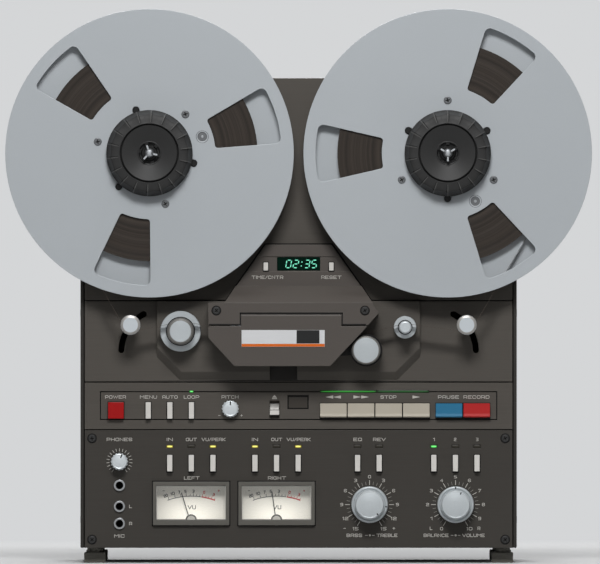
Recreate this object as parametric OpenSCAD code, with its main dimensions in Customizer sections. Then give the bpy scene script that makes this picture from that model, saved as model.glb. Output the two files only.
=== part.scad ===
// Upright reel-to-reel tape recorder with two large metal reels.
// X runs to the right, Y to the rear, Z up. Depth d is measured from the panel face towards the rear.

/* [Cabinet] */
// Outer width of the cabinet
case_w = 404; // [400:1:430]
// Depth from the panel face to the rear cover
case_d = 198; // [180:1:240]
// Thickness of the cabinet walls
case_wall = 3.2; // [2.4:0.1:4]
// Thickness of the rear cover
cover_t = 2; // [1.5:0.1:3]
// Width of a foot
foot_w = 20; // [16:0.5:24]
// Height of the foot pad
foot_pad_h = 9.7; // [7:0.1:14]
// Height of the foot neck
foot_neck_h = 4.3; // [3:0.1:6]
// Distance of the feet from the front and rear edges
foot_inset = 14; // [10:1:30]

/* [Panels] */
// Thickness of the front panels
panel_t = 4; // [3.5:0.1:5]
// Gap between two panels
panel_gap = 1; // [0.6:0.1:1.4]
// Gap between a panel and the cabinet side
edge_gap = 0.8; // [0.5:0.1:0.9]
// Height of the amplifier panel
amp_h = 109; // [106:0.5:116]
// Height of the control strip panel
control_h = 43; // [42:0.5:48]
// Height of the transport panel
transport_h = 74.5; // [74:0.5:78]
// Height of the reel deck panel
deck_h = 205.5; // [195:0.5:215]
// Width of the frame rails behind the panels
rail_w = 8; // [6:0.5:9]
// Depth of the frame rails
rail_d = 12; // [8:0.5:14]

/* [Reels] */
// Diameter of the reel flanges
reel_d = 266.7; // [250:0.1:268]
// Space between the two reels
reel_space = 8.9; // [6:0.1:20]
// Height of the spindles above the lower edge of the reel deck panel
spindle_up = 135.7; // [134.5:0.1:142]
// Distance from the panel face to the rear flange
reel_stand = 16.5; // [15.5:0.1:18]
// Thickness of a flange
flange_t = 1.2; // [0.8:0.1:1.4]
// Inside distance between the flanges
reel_gap = 8.6; // [8:0.1:10]
// Radius of the reel hub
hub_r = 57.15; // [55:0.05:60]
// Radius of the large bore of the reel
bore_r = 38.1; // [36:0.1:39]
// Radius of the tape pack on the supply reel
supply_pack_r = 100; // [80:0.5:112]
// Radius of the tape pack on the take-up reel
takeup_pack_r = 102; // [80:0.5:112]
// Width of the tape
tape_w = 6.35; // [6:0.05:6.5]
// Thickness of the modelled tape ribbon
tape_t = 0.25; // [0.2:0.05:0.4]
// Turn of the supply reel about its spindle
supply_turn = 77.4; // [0:0.1:120]
// Half angle of a flange window
window_half = 13; // [8:0.5:16]
// Rim left outside the windows
window_rim = 11.3; // [8:0.1:16]
// Radius of a flange screw head
reel_screw_r = 3.7; // [3:0.1:4]
// Radius of the tape anchor hole in the front flange
anchor_r = 4.4; // [3:0.1:5]

/* [Reel drive] */
// Radius of the hub adapter
adapter_r = 39.9; // [39.7:0.1:40.5]
// Height of the hub adapter in front of the reel
adapter_h = 18; // [14:0.5:22]
// Radius of the inner disc of the adapter
disc_r = 25.9; // [20:0.1:28]
// Number of grip scallops on the adapter
scallops = 18; // [12:1:24]
// Radius of one grip scallop
scallop_r = 2.2; // [1.5:0.1:2.5]
// Radius of a key lug
lug_r = 3.3; // [2.6:0.1:3.5]
// Radius of the spindle shaft
spindle_r = 4.5; // [4:0.1:5]
// Reach of the spindle prongs from the axis
prong_r = 7; // [6.2:0.1:7.4]
// Radius of the reel table
table_r = 43; // [41:0.5:48]
// Radius of a reel motor
reel_motor_r = 42; // [36:0.5:45]
// Length of a reel motor
reel_motor_l = 58; // [40:1:70]

/* [Tape path] */
// Half distance between the tension arm pivots
arm_pivot_x = 124.8; // [122:0.1:128]
// Height of the arm pivots above the lower edge of the transport panel
arm_pivot_up = 27.7; // [27:0.1:29]
// Length of a tension arm
arm_r = 39.4; // [38:0.1:41]
// Rest angle of the supply arm
arm_rest = 141; // [137:1:145]
// Travel of an arm towards the reel
arm_up = 22; // [10:1:24]
// Travel of an arm away from the reel
arm_down = 36; // [20:1:38]
// Radius of a guide post where the tape runs
post_r = 6; // [5:0.1:7]
// Radius of a guide post cap
post_cap_r = 9.2; // [8.6:0.1:10]
// Radius of the arm stem in its slot
stem_r = 2.4; // [2:0.1:2.6]
// Distance of the impedance roller to the left of the centre line
impedance_x = 109.2; // [107:0.1:110]
// Height of the impedance roller above the lower edge of the transport panel
impedance_up = 46.6; // [45:0.1:48]
// Radius of the impedance roller where the tape runs
impedance_r = 8.3; // [7:0.1:9]
// Radius of the impedance roller flange
impedance_flange_r = 18.9; // [16:0.1:20]
// Radius of the impedance roller cap
impedance_cap_r = 12.8; // [10:0.1:14]
// Distance of the counter roller to the right of the centre line
counter_x = 98.5; // [97:0.1:100]
// Height of the counter roller above the lower edge of the transport panel
counter_up = 50.3; // [49:0.1:51]
// Radius of the counter roller where the tape runs
counter_r = 3.2; // [3:0.1:3.6]
// Radius of the counter roller flange
counter_flange_r = 10.4; // [9:0.1:11]
// Radius of the counter roller cap
counter_cap_r = 6; // [5:0.1:7]
// Distance of the pinch roller to the right of the centre line
pinch_x = 62.4; // [61.5:0.1:63]
// Height of the pinch roller above the lower edge of the transport panel
pinch_up = 29.2; // [28.6:0.1:29.6]
// Radius of the rubber pinch roller
pinch_r = 15; // [14.5:0.1:15.4]
// Radius of the pinch roller cap
pinch_cap_r = 13.5; // [12:0.1:13.6]
// Direction from the pinch roller to the capstan
nip_angle = 122.7; // [121:0.1:125]
// Radius of the capstan shaft
capstan_r = 4; // [3.5:0.1:4.4]
// Length of the pinch arm
pinch_arm_l = 36; // [33:0.5:38]
// Radius of a head face
head_r = 7; // [6:0.1:8]
// Width of a head
head_w = 13; // [12:0.5:15]

/* [Capstan drive] */
// Radius of the flywheel
flywheel_r = 40; // [34:0.5:42]
// Thickness of the flywheel
flywheel_t = 14; // [10:0.5:16]
// Radius of the motor pulley
pulley_r = 7; // [6:0.1:9]
// Distance from the capstan to the motor shaft
belt_span = 77; // [72:0.5:82]
// Thickness of the belt
belt_t = 1.2; // [0.8:0.1:1.6]
// Width of the belt
belt_w = 6; // [4:0.5:8]
// Radius of the capstan motor
motor_r = 24; // [20:0.5:25]
// Length of the capstan motor
motor_l = 48; // [30:1:60]

/* [Transport panel] */
// Height of the plateau above the panel
plateau_h = 6; // [4.5:0.1:7]
// Plateau edge to the left of the centre line
plateau_l = 131.1; // [130.5:0.1:132]
// Plateau edge to the right of the centre line
plateau_r = 112.4; // [111:0.1:113]
// Height of the plateau edge above the lower edge of the panel
plateau_low = 9; // [8.6:0.1:10]
// Size of the cut corners of the plateau
plateau_corner = 22.5; // [20:0.1:23]
// Height of the bevel below the plateau
plateau_bevel = 7.5; // [5:0.1:8]
// Width of the finger notch
notch_w = 25.3; // [18:0.1:32]
// Height of the finger notch
notch_h = 14.4; // [10:0.1:16]
// Centre of the finger notch
notch_x = -14; // [-30:0.5:0]

/* [Head housing] */
// Half width of the counter section at its top
counter_top = 30.4; // [28:0.1:40]
// Half width of the counter section at its foot
counter_foot = 66.7; // [62:0.1:68]
// Height of the counter section
counter_h = 51.3; // [48:0.1:54]
// Distance of the counter section in front of the panels
counter_proud = 8; // [5:0.1:10]
// Height of the sloped part above the foot of the counter section
slope_up = 13; // [10:0.1:15]
// Distance of the housing face in front of the panels
housing_d = 35; // [34:0.1:37]
// Left edge of the housing from the centre line
housing_l = 83.4; // [82:0.1:85]
// Right corner of the housing from the centre line
housing_r = 74.1; // [72.5:0.1:75]
// Lower edge of the housing ears above the lower edge of the transport panel
ear_up = 52.3; // [52:0.1:52.8]
// Left side of the hinge opening
hinge_l = 53.8; // [50:0.1:56]
// Right side of the hinge opening
hinge_r = 40.3; // [36:0.1:42]
// Height of the roof of the hinge opening above the panel edge
roof_up = 63.9; // [63.8:0.1:65]
// Radius of the hinge barrel
barrel_r = 3; // [2.5:0.1:3.1]
// Thickness of the head cover
flap_t = 3; // [2:0.1:3.5]
// Lower edge of the head cover above the panel edge
flap_low = 14.4; // [13.5:0.1:16]
// Width of the counter display
display_w = 39.6; // [30:0.1:44]
// Height of the counter display
display_h = 12.2; // [10:0.1:13]
// Height of the display centre above the foot of the counter section
display_up = 33.4; // [32:0.1:35]
// Half distance between the counter buttons
counter_button_x = 30.3; // [27:0.1:31]

/* [Control strip] */
// Distance of the strip groove from the panel sides
strip_side = 14; // [12:0.1:15]
// Distance of the strip groove from the lower panel edge
strip_low = 8.4; // [7:0.1:8.6]
// Height of the strip inside the groove
strip_h = 26.7; // [26.5:0.1:28]
// Width of the groove
groove_w = 1; // [0.8:0.1:1.4]
// Height of the button row above the lower panel edge
button_up = 17.3; // [17:0.1:18]
// Distance of the power button from the left panel side
power_side = 28.9; // [27:0.1:30]
// Distance from the power button to the middle mode button
mode_space = 49.9; // [46:0.1:51]
// Distance from the middle mode button to the pitch knob
pitch_space = 56; // [52:0.1:58]
// Width of the power button
power_w = 14.6; // [13:0.1:15.5]
// Height of the power and mode buttons
mode_h = 15.2; // [13:0.1:15.5]
// Width of the slim buttons
slim_w = 4.8; // [4:0.1:5.5]
// Width of a transport key
key_w = 24.6; // [23:0.1:24.9]
// Height of a transport key
key_h = 13; // [11:0.1:13.4]
// Distance between two neighbouring keys
key_pitch = 25.6; // [25.3:0.1:25.9]
// Distance of the pause key from the right panel side
pause_side = 58.7; // [58:0.1:60]
// Distance between the play key and the pause key
key_space = 30.3; // [28:0.1:31]
// Forward reach of keys and buttons
key_out = 6; // [4:0.1:8]
// Radius of the small knobs
knob_r = 8.1; // [7:0.1:9]
// Width of the slide lever
lever_w = 8.7; // [7:0.1:9.5]
// Height of the slide lever
lever_h = 10.5; // [9:0.1:11]

/* [Amplifier panel] */
// Height of the meter centres above the lower panel edge
meter_up = 41.1; // [40:0.1:43]
// Centre of the left meter
meter_l_x = -99.5; // [-101:0.1:-99]
// Centre of the right meter
meter_r_x = -20.4; // [-21:0.1:-18]
// Width of a meter bezel
bezel_w = 70.8; // [66:0.1:73]
// Height of a meter bezel
bezel_h = 40.3; // [38:0.1:42]
// Width of a meter window
window_w = 65.3; // [58:0.1:65.5]
// Height of a meter window
window_h = 32.2; // [28:0.1:33]
// Distance of the bezel in front of the panel
bezel_out = 3.5; // [2.5:0.1:5]
// Length of a meter needle
needle_l = 31; // [26:0.1:33]
// Rest angle of the left needle from upright
needle_l_rest = 17; // [0:1:30]
// Rest angle of the right needle from upright
needle_r_rest = 8; // [0:1:30]
// Height of the button row above the lower panel edge
amp_button_up = 78.5; // [78:0.1:80]
// Height of the lamps above the lower panel edge
lamp_up = 93.9; // [93:0.1:95]
// Width of a lamp
lamp_w = 6.4; // [5:0.1:7]
// Height of a lamp
lamp_h = 2.8; // [2:0.1:3.2]
// Distance between two buttons of a bank
bank_pitch = 20; // [18:0.1:20.4]
// Distance of the phones knob and the jacks from the left panel side
jack_side = 32.1; // [30:0.1:34]
// Radius of a jack bore
jack_r = 3.25; // [3.2:0.01:3.4]
// Radius of a jack nut
nut_r = 5.2; // [5:0.1:5.8]
// Distance of the tone knobs to the right of the centre line
tone_x = 65.7; // [64:0.1:68]
// Distance of the volume knobs from the right panel side
volume_side = 52.7; // [51:0.1:55]
// Height of the large knobs above the lower panel edge
dial_up = 40.1; // [38:0.1:42]
// Radius of the outer knob rings
ring_r = 17.1; // [15:0.1:19]
// Radius of the inner knobs
inner_r = 13.6; // [11:0.1:14.5]
// Radius of a panel screw head
screw_r = 3.7; // [3:0.1:4]
// Distance of the panel screws from the panel sides
screw_side = 6.7; // [6:0.1:8]
// Distance of the panel screws from the upper and lower panel edges
screw_edge = 7.6; // [6:0.1:9]

/* [Rear] */
// Radius of a line socket
socket_r = 4.15; // [4:0.05:4.5]
// Length of a line socket behind the cover
socket_l = 8; // [6:0.5:10]
// Distance between two line sockets
socket_pitch = 18; // [15:0.5:22]
// Width of the mains inlet
inlet_w = 28; // [26:0.5:32]
// Height of the mains inlet
inlet_h = 20; // [18:0.5:24]

/* [Hidden] */
$fn = 64;

// Small distances shared by all fits
cut = 1;
run_fit = 0.05;
slide_fit = 0.25;
seat_fit = 0.15;
face_fit = 0.1;
tape_clear = 0.15;

// Heights of the panels
foot_h = foot_pad_h + foot_neck_h;
foot_neck_r = 7.2;
amp_z = foot_h;
ctl_z = amp_z + amp_h + panel_gap;
trn_z = ctl_z + control_h + panel_gap;
deck_z = trn_z + transport_h + panel_gap;
top_z = deck_z + deck_h;
in_w = case_w - 2 * case_wall;
panel_w = in_w - 2 * edge_gap;
trn_top = trn_z + transport_h;

// Depths of the reels and the whole recorder
reel_front = -(reel_stand + 2 * flange_t + reel_gap);
tape_mid = -(reel_stand + flange_t + reel_gap / 2);
adapter_front = reel_front - adapter_h;
tip_out = 2.5;
front_reach = -adapter_front + tip_out;
rear_reach = cover_t + socket_l;
face_y = front_reach - (front_reach + case_d + rear_reach) / 2;

// Reel layout
reel_r = reel_d / 2;
spindle_x = reel_r + reel_space / 2;
spindle_z = deck_z + spindle_up;
window_in = hub_r + 3.8;
window_out = reel_r - window_rim;
screw_ring = (bore_r + hub_r) / 2 + 1.4;
lug_ring = adapter_r + 2;
table_t = 4.5;
table_boss_r = 14;
table_space = 2.5;
spindle_hole_r = spindle_r + 3;
prong_w = 2.4;
prong_l = 8;
adapter_bore_r = prong_r + 0.6;
adapter_slope = 3.4;
groove_r = 1.3;
scallop_ring = adapter_r + scallop_r / 2;
motor_shaft_fit = spindle_r + run_fit;
motor_clear = 1;
reel_motor_d = panel_t + rail_d + motor_clear;
reel_motor_end = reel_motor_d + reel_motor_l;
reel_post_ring = 26;

// Tape path places
arm_pivot_z = trn_z + arm_pivot_up;
supply_post = [-arm_pivot_x + arm_r * cos(arm_rest), arm_pivot_z + arm_r * sin(arm_rest)];
takeup_post = [-supply_post[0], supply_post[1]];
impedance_c = [-impedance_x, trn_z + impedance_up];
counter_c = [counter_x, trn_z + counter_up];
pinch_c = [pinch_x, trn_z + pinch_up];
run_gap = tape_clear + tape_t / 2;
nip_slack = 0.06;
nip = pinch_r + capstan_r + 2 * run_gap + nip_slack;
capstan_c = pinch_c + nip * [cos(nip_angle), sin(nip_angle)];
pinch_arm_drop = 2;
pinch_arm_w = 8;
pinch_pivot = pinch_c - [pinch_arm_l, pinch_arm_drop];
slot_w = 2 * stem_r + 0.6;
guide_front = tape_mid - tape_w / 2 - 2.8;
guide_rear = tape_mid + tape_w / 2 + 2.8;
cap_front = guide_front - 4.5;
path_left = [impedance_c[0], impedance_c[1] + impedance_r];
path_right = [capstan_c[0], capstan_c[1] - capstan_r];
head_x = [-50, -22, 8];
head_sag = [1.5, 2.1, 1.6];
head_c = [for (i = [0 : 2]) [head_x[i], path_at(head_x[i]) - head_sag[i] + head_r]];
function path_at(x) = path_left[1]
  + (path_right[1] - path_left[1]) * (x - path_left[0]) / (path_right[0] - path_left[0]);

// Capstan drive places
flywheel_d = panel_t + 20;
flywheel_hub_r = capstan_r + 8;
flywheel_rim = 8;
web_d = 3;
belt_d = flywheel_d + (flywheel_t - belt_w) / 2;
motor_c = capstan_c + belt_span * [cos(185.5), sin(185.5)];
motor_shaft_r = 2.5;
motor_plate_d = flywheel_d + flywheel_t - 2;
motor_plate_t = 3;
motor_post_r = 3;
motor_post_ring = motor_r + motor_post_r + 1;
motor_plate_r = motor_post_ring + motor_post_r + 1;
stud_r = 4;
stud_end = panel_t + 8;
boss_r = 9;
boss_end = panel_t + 10;
axle_r = 3;
arm_d = panel_t + 2;
arm_t = 3;

// Head housing places
slope_z = deck_z + slope_up;
housing_top = trn_top - 1.4;
ear_z = trn_z + ear_up;
roof_z = trn_z + roof_up;
barrel_z = roof_z - barrel_r - 0.4;
barrel_d = -housing_d + barrel_r;
ear_t = 6;
pin_r = 1.5;
pin_l = 4;
shoulder_z = ear_z - 0.9;
housing_cut = 9.9;
flap_slant_x = 61.2;
flap_slant_up = 48.8;
flap_slant = [flap_slant_x, trn_z + flap_slant_up];
flap_corner = 29.2;
flap_cut_w = 24;
flap_cut_h = 26.1;
flap_lip_d = 13;
flap_lip_t = 2.5;
flap_fit = 0.6;
housing_screw_x = [-housing_l + 7.4, housing_r - 12.8];
housing_screw_z = ear_z + 13.5;
display_z = deck_z + display_up;
display_seat = 1;
counter_button_w = 4.2;
counter_button_h = 7.5;
counter_button_z = deck_z + display_up - 2.4;
side_run = (counter_foot - counter_top) / counter_h;

// Control strip places
strip_z = ctl_z + strip_low;
button_z = ctl_z + button_up;
groove_d = 2;
stop_lip = 1;
stop_gap = 0.3;
cap_rear = panel_t + 1.5;
key_lip = 1.7;
key_dip = 1.4;
power_x = -panel_w / 2 + power_side;
mode_x = power_x + mode_space;
pitch_x = mode_x + pitch_space;
pause_x = panel_w / 2 - pause_side;
key_x = pause_x - key_space - 3 * key_pitch;
lever_x = -22.3;
lever_z = ctl_z + 18.4;
lever_out = 5;
lever_slide = 2.5;
pane_x = -0.5;
pane_w = 19.8;
pane_h = 13.2;
pane_z = ctl_z + 25;
pane_d = 1.6;
strip_lamp_z = strip_z + strip_h - 0.3;
strip_lamp_h = 2.4;
loop_lamp_w = 4.4;
light_bar_w = 101;
light_bar_x = 70.3;
pot_r = 8;
pot_l = 9;
knob_shaft_r = 3;
knob_out = 8;
knob_lift = 0.5;
knob_scallops = 16;
knob_scallop_r = 0.7;

// Amplifier panel places
meter_z = amp_z + meter_up;
meter_x = [meter_l_x, meter_r_x];
window_z = meter_z + 0.7;
needle_pivot_z = meter_z - 19.6;
dome_r = 5.3;
cup_w = 76;
cup_h = 53;
cup_z = meter_z - 1;
cup_wall = 1.5;
cup_l = 24;
dial_d = panel_t + 4.5;
dial_t = 1;
needle_d = panel_t + 1.2;
needle_t = 0.8;
needle_w = 0.9;
needle_hub_r = 2.6;
needle_pin_r = 0.8;
amp_button_z = amp_z + amp_button_up;
lamp_z = amp_z + lamp_up;
lamp_rear = panel_t + 2;
left_bank_in = 19.8;
right_bank_in = 20;
tone_bank_in = 11.1;
volume_bank_in = 20.1;
jack_x = -panel_w / 2 + jack_side;
volume_x = panel_w / 2 - volume_side;
left_bank_x = [for (i = [0 : 2]) meter_l_x - left_bank_in + i * bank_pitch];
right_bank_x = [for (i = [0 : 2]) meter_r_x - right_bank_in + i * bank_pitch];
output_bank_x = concat([for (i = [0 : 1]) tone_x - tone_bank_in + i * bank_pitch],
  [for (i = [0 : 2]) volume_x - volume_bank_in + i * bank_pitch]);
phones_up = 80;
jack_top_up = 57.9;
jack_mid_up = 38.4;
jack_low_up = 22.5;
phones_z = amp_z + phones_up;
jack_z = [amp_z + jack_top_up, amp_z + jack_mid_up, amp_z + jack_low_up];
jack_l = 20;
barrel_out_r = 4.6;
nut_out = 2;
dial_z = amp_z + dial_up;
ring_out = 10;
inner_out = 21;
sleeve_r = 5;
big_pot_r = 11;
big_pot_l = 12;
screw_z = [amp_z + screw_edge, amp_z + amp_h - screw_edge];
screw_x = panel_w / 2 - screw_side;
shank_r = 1.9;
head_out = 1.4;

// Rear places
socket_z = amp_z + 60;
socket_x = [for (i = [0 : 3]) -60 + i * socket_pitch];
socket_in = 6;
socket_neck_r = 3.4;
cover_rear = case_d + cover_t;
inlet_x = 120;
inlet_z = amp_z + 40;
inlet_in = 16;
inlet_wall = 2;
inlet_out = 2;
vent_w = 60;
vent_t = 3;
vents = 7;
vent_pitch = 9;
vent_z = top_z - 120;
cover_screw_x = case_w / 2 - 12;
cover_screw_z = [amp_z + 12, (amp_z + top_z) / 2, top_z - 12];

// Inner places
floor_z = amp_z + case_wall;
board_z = floor_z + 7;
board_t = 1.6;
board_side = 18.8;
board_w = 240;
board_front = 50;
board_rear = 18;
board_x = [-in_w / 2 + board_side, -in_w / 2 + board_side + board_w];
board_d = [board_front, case_d - board_rear];
core_w = 70;
core_l = 56;
core_h = 58;
core_x = 120;
core_rear = 88;
core_d = case_d - core_rear;
coil_over = 9;

module rod(x, z, d0, d1, r) {
  translate([x, face_y + d0, z])
    rotate([-90, 0, 0])
      cylinder(h = d1 - d0, r = r);
}

module slab(x0, x1, d0, d1, z0, z1) {
  translate([x0, face_y + d0, z0])
    cube([x1 - x0, d1 - d0, z1 - z0]);
}

module block(x, z, w, h, d0, d1) {
  slab(x - w / 2, x + w / 2, d0, d1, z - h / 2, z + h / 2);
}

module plate(d0, d1) {
  translate([0, face_y + d1, 0])
    rotate([90, 0, 0])
      linear_extrude(height = d1 - d0)
        children();
}

module turned(x, z, profile) {
  translate([x, face_y, z])
    rotate([-90, 0, 0])
      rotate_extrude()
        polygon(profile);
}

module across(x0, x1, d, z, r) {
  translate([x0, face_y + d, z])
    rotate([0, 90, 0])
      cylinder(h = x1 - x0, r = r);
}

// Cabinet and frame
module cabinet_shell() {
  color("#45423e")
    difference() {
      slab(-case_w / 2, case_w / 2, 0, case_d, amp_z, top_z);
      slab(-in_w / 2, in_w / 2, -cut, case_d + cut, amp_z + case_wall, top_z - case_wall);
      slab(-in_w / 2, in_w / 2, -cut, panel_t, amp_z - cut, top_z + cut);
    }
}

module rear_cover() {
  color("#2e2d2b")
    difference() {
      slab(-case_w / 2, case_w / 2, case_d, case_d + cover_t, amp_z, top_z);
      for (side = [-1, 1], i = [0 : vents - 1])
        block(side * spindle_x, vent_z + i * vent_pitch, vent_w, vent_t,
          case_d - cut, case_d + cover_t + cut);
      for (x = socket_x)
        rod(x, socket_z, case_d - cut, case_d + cover_t + cut, socket_neck_r + seat_fit);
      block(inlet_x, inlet_z, inlet_w + 2 * seat_fit, inlet_h + 2 * seat_fit,
        case_d - cut, case_d + cover_t + cut);
    }
}

module chassis_frame() {
  rear = panel_t + rail_d;
  half = in_w / 2 - slide_fit;
  seams = [ctl_z, trn_z, deck_z];
  color("#3c3d3e")
    union() {
      for (side = [-1, 1])
        block(side * (half - rail_w / 2), (floor_z + top_z - case_wall) / 2, rail_w,
          top_z - floor_z - case_wall - 2 * slide_fit, panel_t, rear);
      for (z = seams)
        slab(-half + cut, half - cut, panel_t, rear, z - panel_gap - rail_w / 2, z + rail_w / 2);
      slab(-half + cut, half - cut, panel_t, rear, floor_z + slide_fit, floor_z + slide_fit + rail_w);
      slab(-half + cut, half - cut, panel_t, rear, top_z - case_wall - slide_fit - rail_w,
        top_z - case_wall - slide_fit);
    }
}

module feet() {
  color("#403e39")
    for (side = [-1, 1], d = [foot_inset + foot_w / 2, case_d - foot_inset - foot_w / 2])
      translate([side * (case_w / 2 - foot_w / 2 - case_wall), face_y + d, 0])
        union() {
          translate([-foot_w / 2, -foot_w / 2, 0])
            cube([foot_w, foot_w, foot_pad_h]);
          cylinder(h = foot_h, r = foot_neck_r);
        }
}

// Front panels
module counter_outline(grow) {
  half_top = counter_top + grow;
  half_foot = counter_foot + grow;
  polygon([[-half_foot, deck_z - cut], [half_foot, deck_z - cut], [half_foot, deck_z],
    [half_top, deck_z + counter_h + grow / 2], [-half_top, deck_z + counter_h + grow / 2],
    [-half_foot, deck_z]]);
}

module reel_deck_panel() {
  color("#4e4b46")
    plate(0, panel_t)
      difference() {
        translate([-panel_w / 2, deck_z])
          square([panel_w, deck_h]);
        counter_outline(panel_gap);
        for (side = [-1, 1])
          translate([side * spindle_x, spindle_z])
            circle(r = spindle_hole_r);
      }
}

function plateau_line(low, corner) = [[-plateau_l, trn_top], [-plateau_l, low + corner],
  [-plateau_l + corner, low], [plateau_r - corner, low], [plateau_r, low + corner], [plateau_r, trn_top]];

module plateau() {
  hull() {
    plate(-plateau_h, -plateau_h + 0.2)
      polygon(plateau_line(trn_z + plateau_low, plateau_corner));
    plate(0, panel_t / 2)
      polygon(plateau_line(trn_z + plateau_low - plateau_bevel, plateau_corner - 1.5));
  }
}

function arc_line(r, a0, a1, n) = [for (i = [0 : n]) polar(r, a0 + (a1 - a0) * i / n)];
function moved(line, by) = [for (p = line) p + by];

module arm_slot() {
  a0 = arm_rest - arm_up - 1;
  a1 = arm_rest + arm_down + 1;
  w = slot_w / 2;
  polygon(concat(arc_line(arm_r + w, a0, a1, 20),
    moved(arc_line(w, a1 + 9, a1 + 171, 9), arm_r * [cos(a1), sin(a1)]),
    arc_line(arm_r - w, a1, a0, 20),
    moved(arc_line(w, a0 + 189, a0 + 351, 9), arm_r * [cos(a0), sin(a0)])));
}

module transport_panel() {
  color("#4b4843")
    difference() {
      union() {
        slab(-panel_w / 2, panel_w / 2, 0, panel_t, trn_z, trn_top);
        plateau();
        for (side = [-1, 1])
          rod(side * arm_pivot_x, arm_pivot_z, panel_t / 2, stud_end, stud_r);
        for (c = [impedance_c, counter_c, capstan_c, pinch_pivot])
          rod(c[0], c[1], panel_t / 2, boss_end, boss_r);
      }
      plate(-cut, panel_t + cut)
        translate([-arm_pivot_x, arm_pivot_z])
          arm_slot();
      plate(-cut, panel_t + cut)
        translate([arm_pivot_x, arm_pivot_z])
          mirror([1, 0])
            arm_slot();
      for (c = [impedance_c, counter_c])
        rod(c[0], c[1], -plateau_h - cut, boss_end + cut, axle_r + run_fit);
      rod(capstan_c[0], capstan_c[1], -plateau_h - cut, boss_end + cut, capstan_r + run_fit);
      rod(pinch_pivot[0], pinch_pivot[1], -plateau_h - cut, boss_end + cut, stud_r + run_fit);
      block(notch_x, trn_z + notch_h / 2 - cut / 2, notch_w, notch_h + cut, -plateau_h - cut, 0);
    }
}

module side_profile(x0, x1, line) {
  translate([x0, face_y, 0])
    rotate([90, 0, 90])
      linear_extrude(height = x1 - x0)
        polygon(line);
}

module housing_outline() {
  polygon([[-housing_l, ear_z], [-housing_l, housing_top], [housing_r - 6.5, housing_top],
    [housing_r, housing_top - 9.4], [housing_r - housing_cut, ear_z]]);
}

module head_housing() {
  low_half = counter_foot + side_run * (deck_z - housing_top);
  color("#44413d")
    difference() {
      union() {
        plate(-counter_proud, panel_t)
          intersection() {
            counter_outline(0);
            translate([-counter_foot, deck_z])
              square([2 * counter_foot, counter_h]);
          }
        intersection() {
          side_profile(-low_half, low_half, [[-counter_proud, slope_z], [-housing_d, housing_top],
            [-housing_d, roof_z], [-plateau_h, roof_z], [-plateau_h, trn_top],
            [-counter_proud + cut, trn_top], [-counter_proud + cut, slope_z]]);
          plate(-housing_d - cut, panel_t)
            polygon([[-low_half, roof_z - cut], [low_half, roof_z - cut], [low_half, housing_top],
              [counter_foot - side_run * slope_up, slope_z + cut],
              [-counter_foot + side_run * slope_up, slope_z + cut], [-low_half, housing_top]]);
        }
        plate(-housing_d, -housing_d + ear_t)
          housing_outline();
        plate(-housing_d, -plateau_h)
          intersection() {
            housing_outline();
            translate([-housing_l, roof_z])
              square([housing_l + housing_r, housing_top - roof_z]);
          }
      }
      slab(-hinge_l, hinge_r, -housing_d - cut, -housing_d + ear_t + cut, ear_z - cut, roof_z);
      across(-hinge_l - pin_l - cut, hinge_r + pin_l + cut, barrel_d, barrel_z, pin_r + run_fit);
      block(0, display_z, 2 * counter_foot, display_h + 1.6, -counter_proud - cut, -counter_proud + 0.8);
      block(0, display_z, display_w + 2 * seat_fit, display_h + 2 * seat_fit, -counter_proud, -display_seat);
      for (side = [-1, 1])
        block(side * counter_button_x, counter_button_z, counter_button_w + 2 * slide_fit,
          counter_button_h + 2 * slide_fit, -counter_proud - cut, panel_t + cut);
      for (x = housing_screw_x)
        rod(x, housing_screw_z, -housing_d - cut, -housing_d + ear_t + cut, shank_r + seat_fit);
    }
}

module counter_display() {
  color("#12302a")
    block(0, display_z, display_w, display_h, -counter_proud + 0.5, -display_seat);
}

module control_panel() {
  left = -panel_w / 2 + strip_side;
  right = panel_w / 2 - strip_side;
  color("#474440")
    difference() {
      slab(-panel_w / 2, panel_w / 2, 0, panel_t, ctl_z, ctl_z + control_h);
      difference() {
        slab(left, right, -cut, groove_d, strip_z, strip_z + strip_h);
        slab(left + groove_w, right - groove_w, -2 * cut, groove_d + cut, strip_z + groove_w,
          strip_z + strip_h - groove_w);
      }
      block(power_x, button_z, power_w + 2 * slide_fit, mode_h + 2 * slide_fit, -cut, panel_t + cut);
      for (i = [-1 : 1])
        block(mode_x + i * bank_pitch, button_z, slim_w + 2 * slide_fit, mode_h + 2 * slide_fit,
          -cut, panel_t + cut);
      rod(pitch_x, button_z + 1.5, -cut, panel_t + cut, knob_shaft_r + run_fit);
      block(lever_x, lever_z, lever_w + 2 * slide_fit, lever_h + 2 * lever_slide + 2 * slide_fit,
        -cut, panel_t + cut);
      block(pane_x, pane_z, pane_w, pane_h, -cut, pane_d);
      slab(key_x - key_w / 2 - slide_fit, key_x + 3 * key_pitch + key_w / 2 + slide_fit, -cut, panel_t + cut,
        button_z - key_h / 2 - slide_fit, button_z + key_h / 2 + slide_fit);
      slab(pause_x - key_w / 2 - slide_fit, pause_x + key_pitch + key_w / 2 + slide_fit, -cut, panel_t + cut,
        button_z - key_h / 2 - slide_fit, button_z + key_h / 2 + slide_fit);
      block(mode_x + bank_pitch, strip_lamp_z, loop_lamp_w + 2 * seat_fit, strip_lamp_h + 2 * seat_fit,
        -cut, panel_t + cut);
      block(light_bar_x, strip_lamp_z, light_bar_w + 2 * seat_fit, strip_lamp_h + 2 * seat_fit,
        -cut, panel_t + cut);
    }
}

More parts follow.
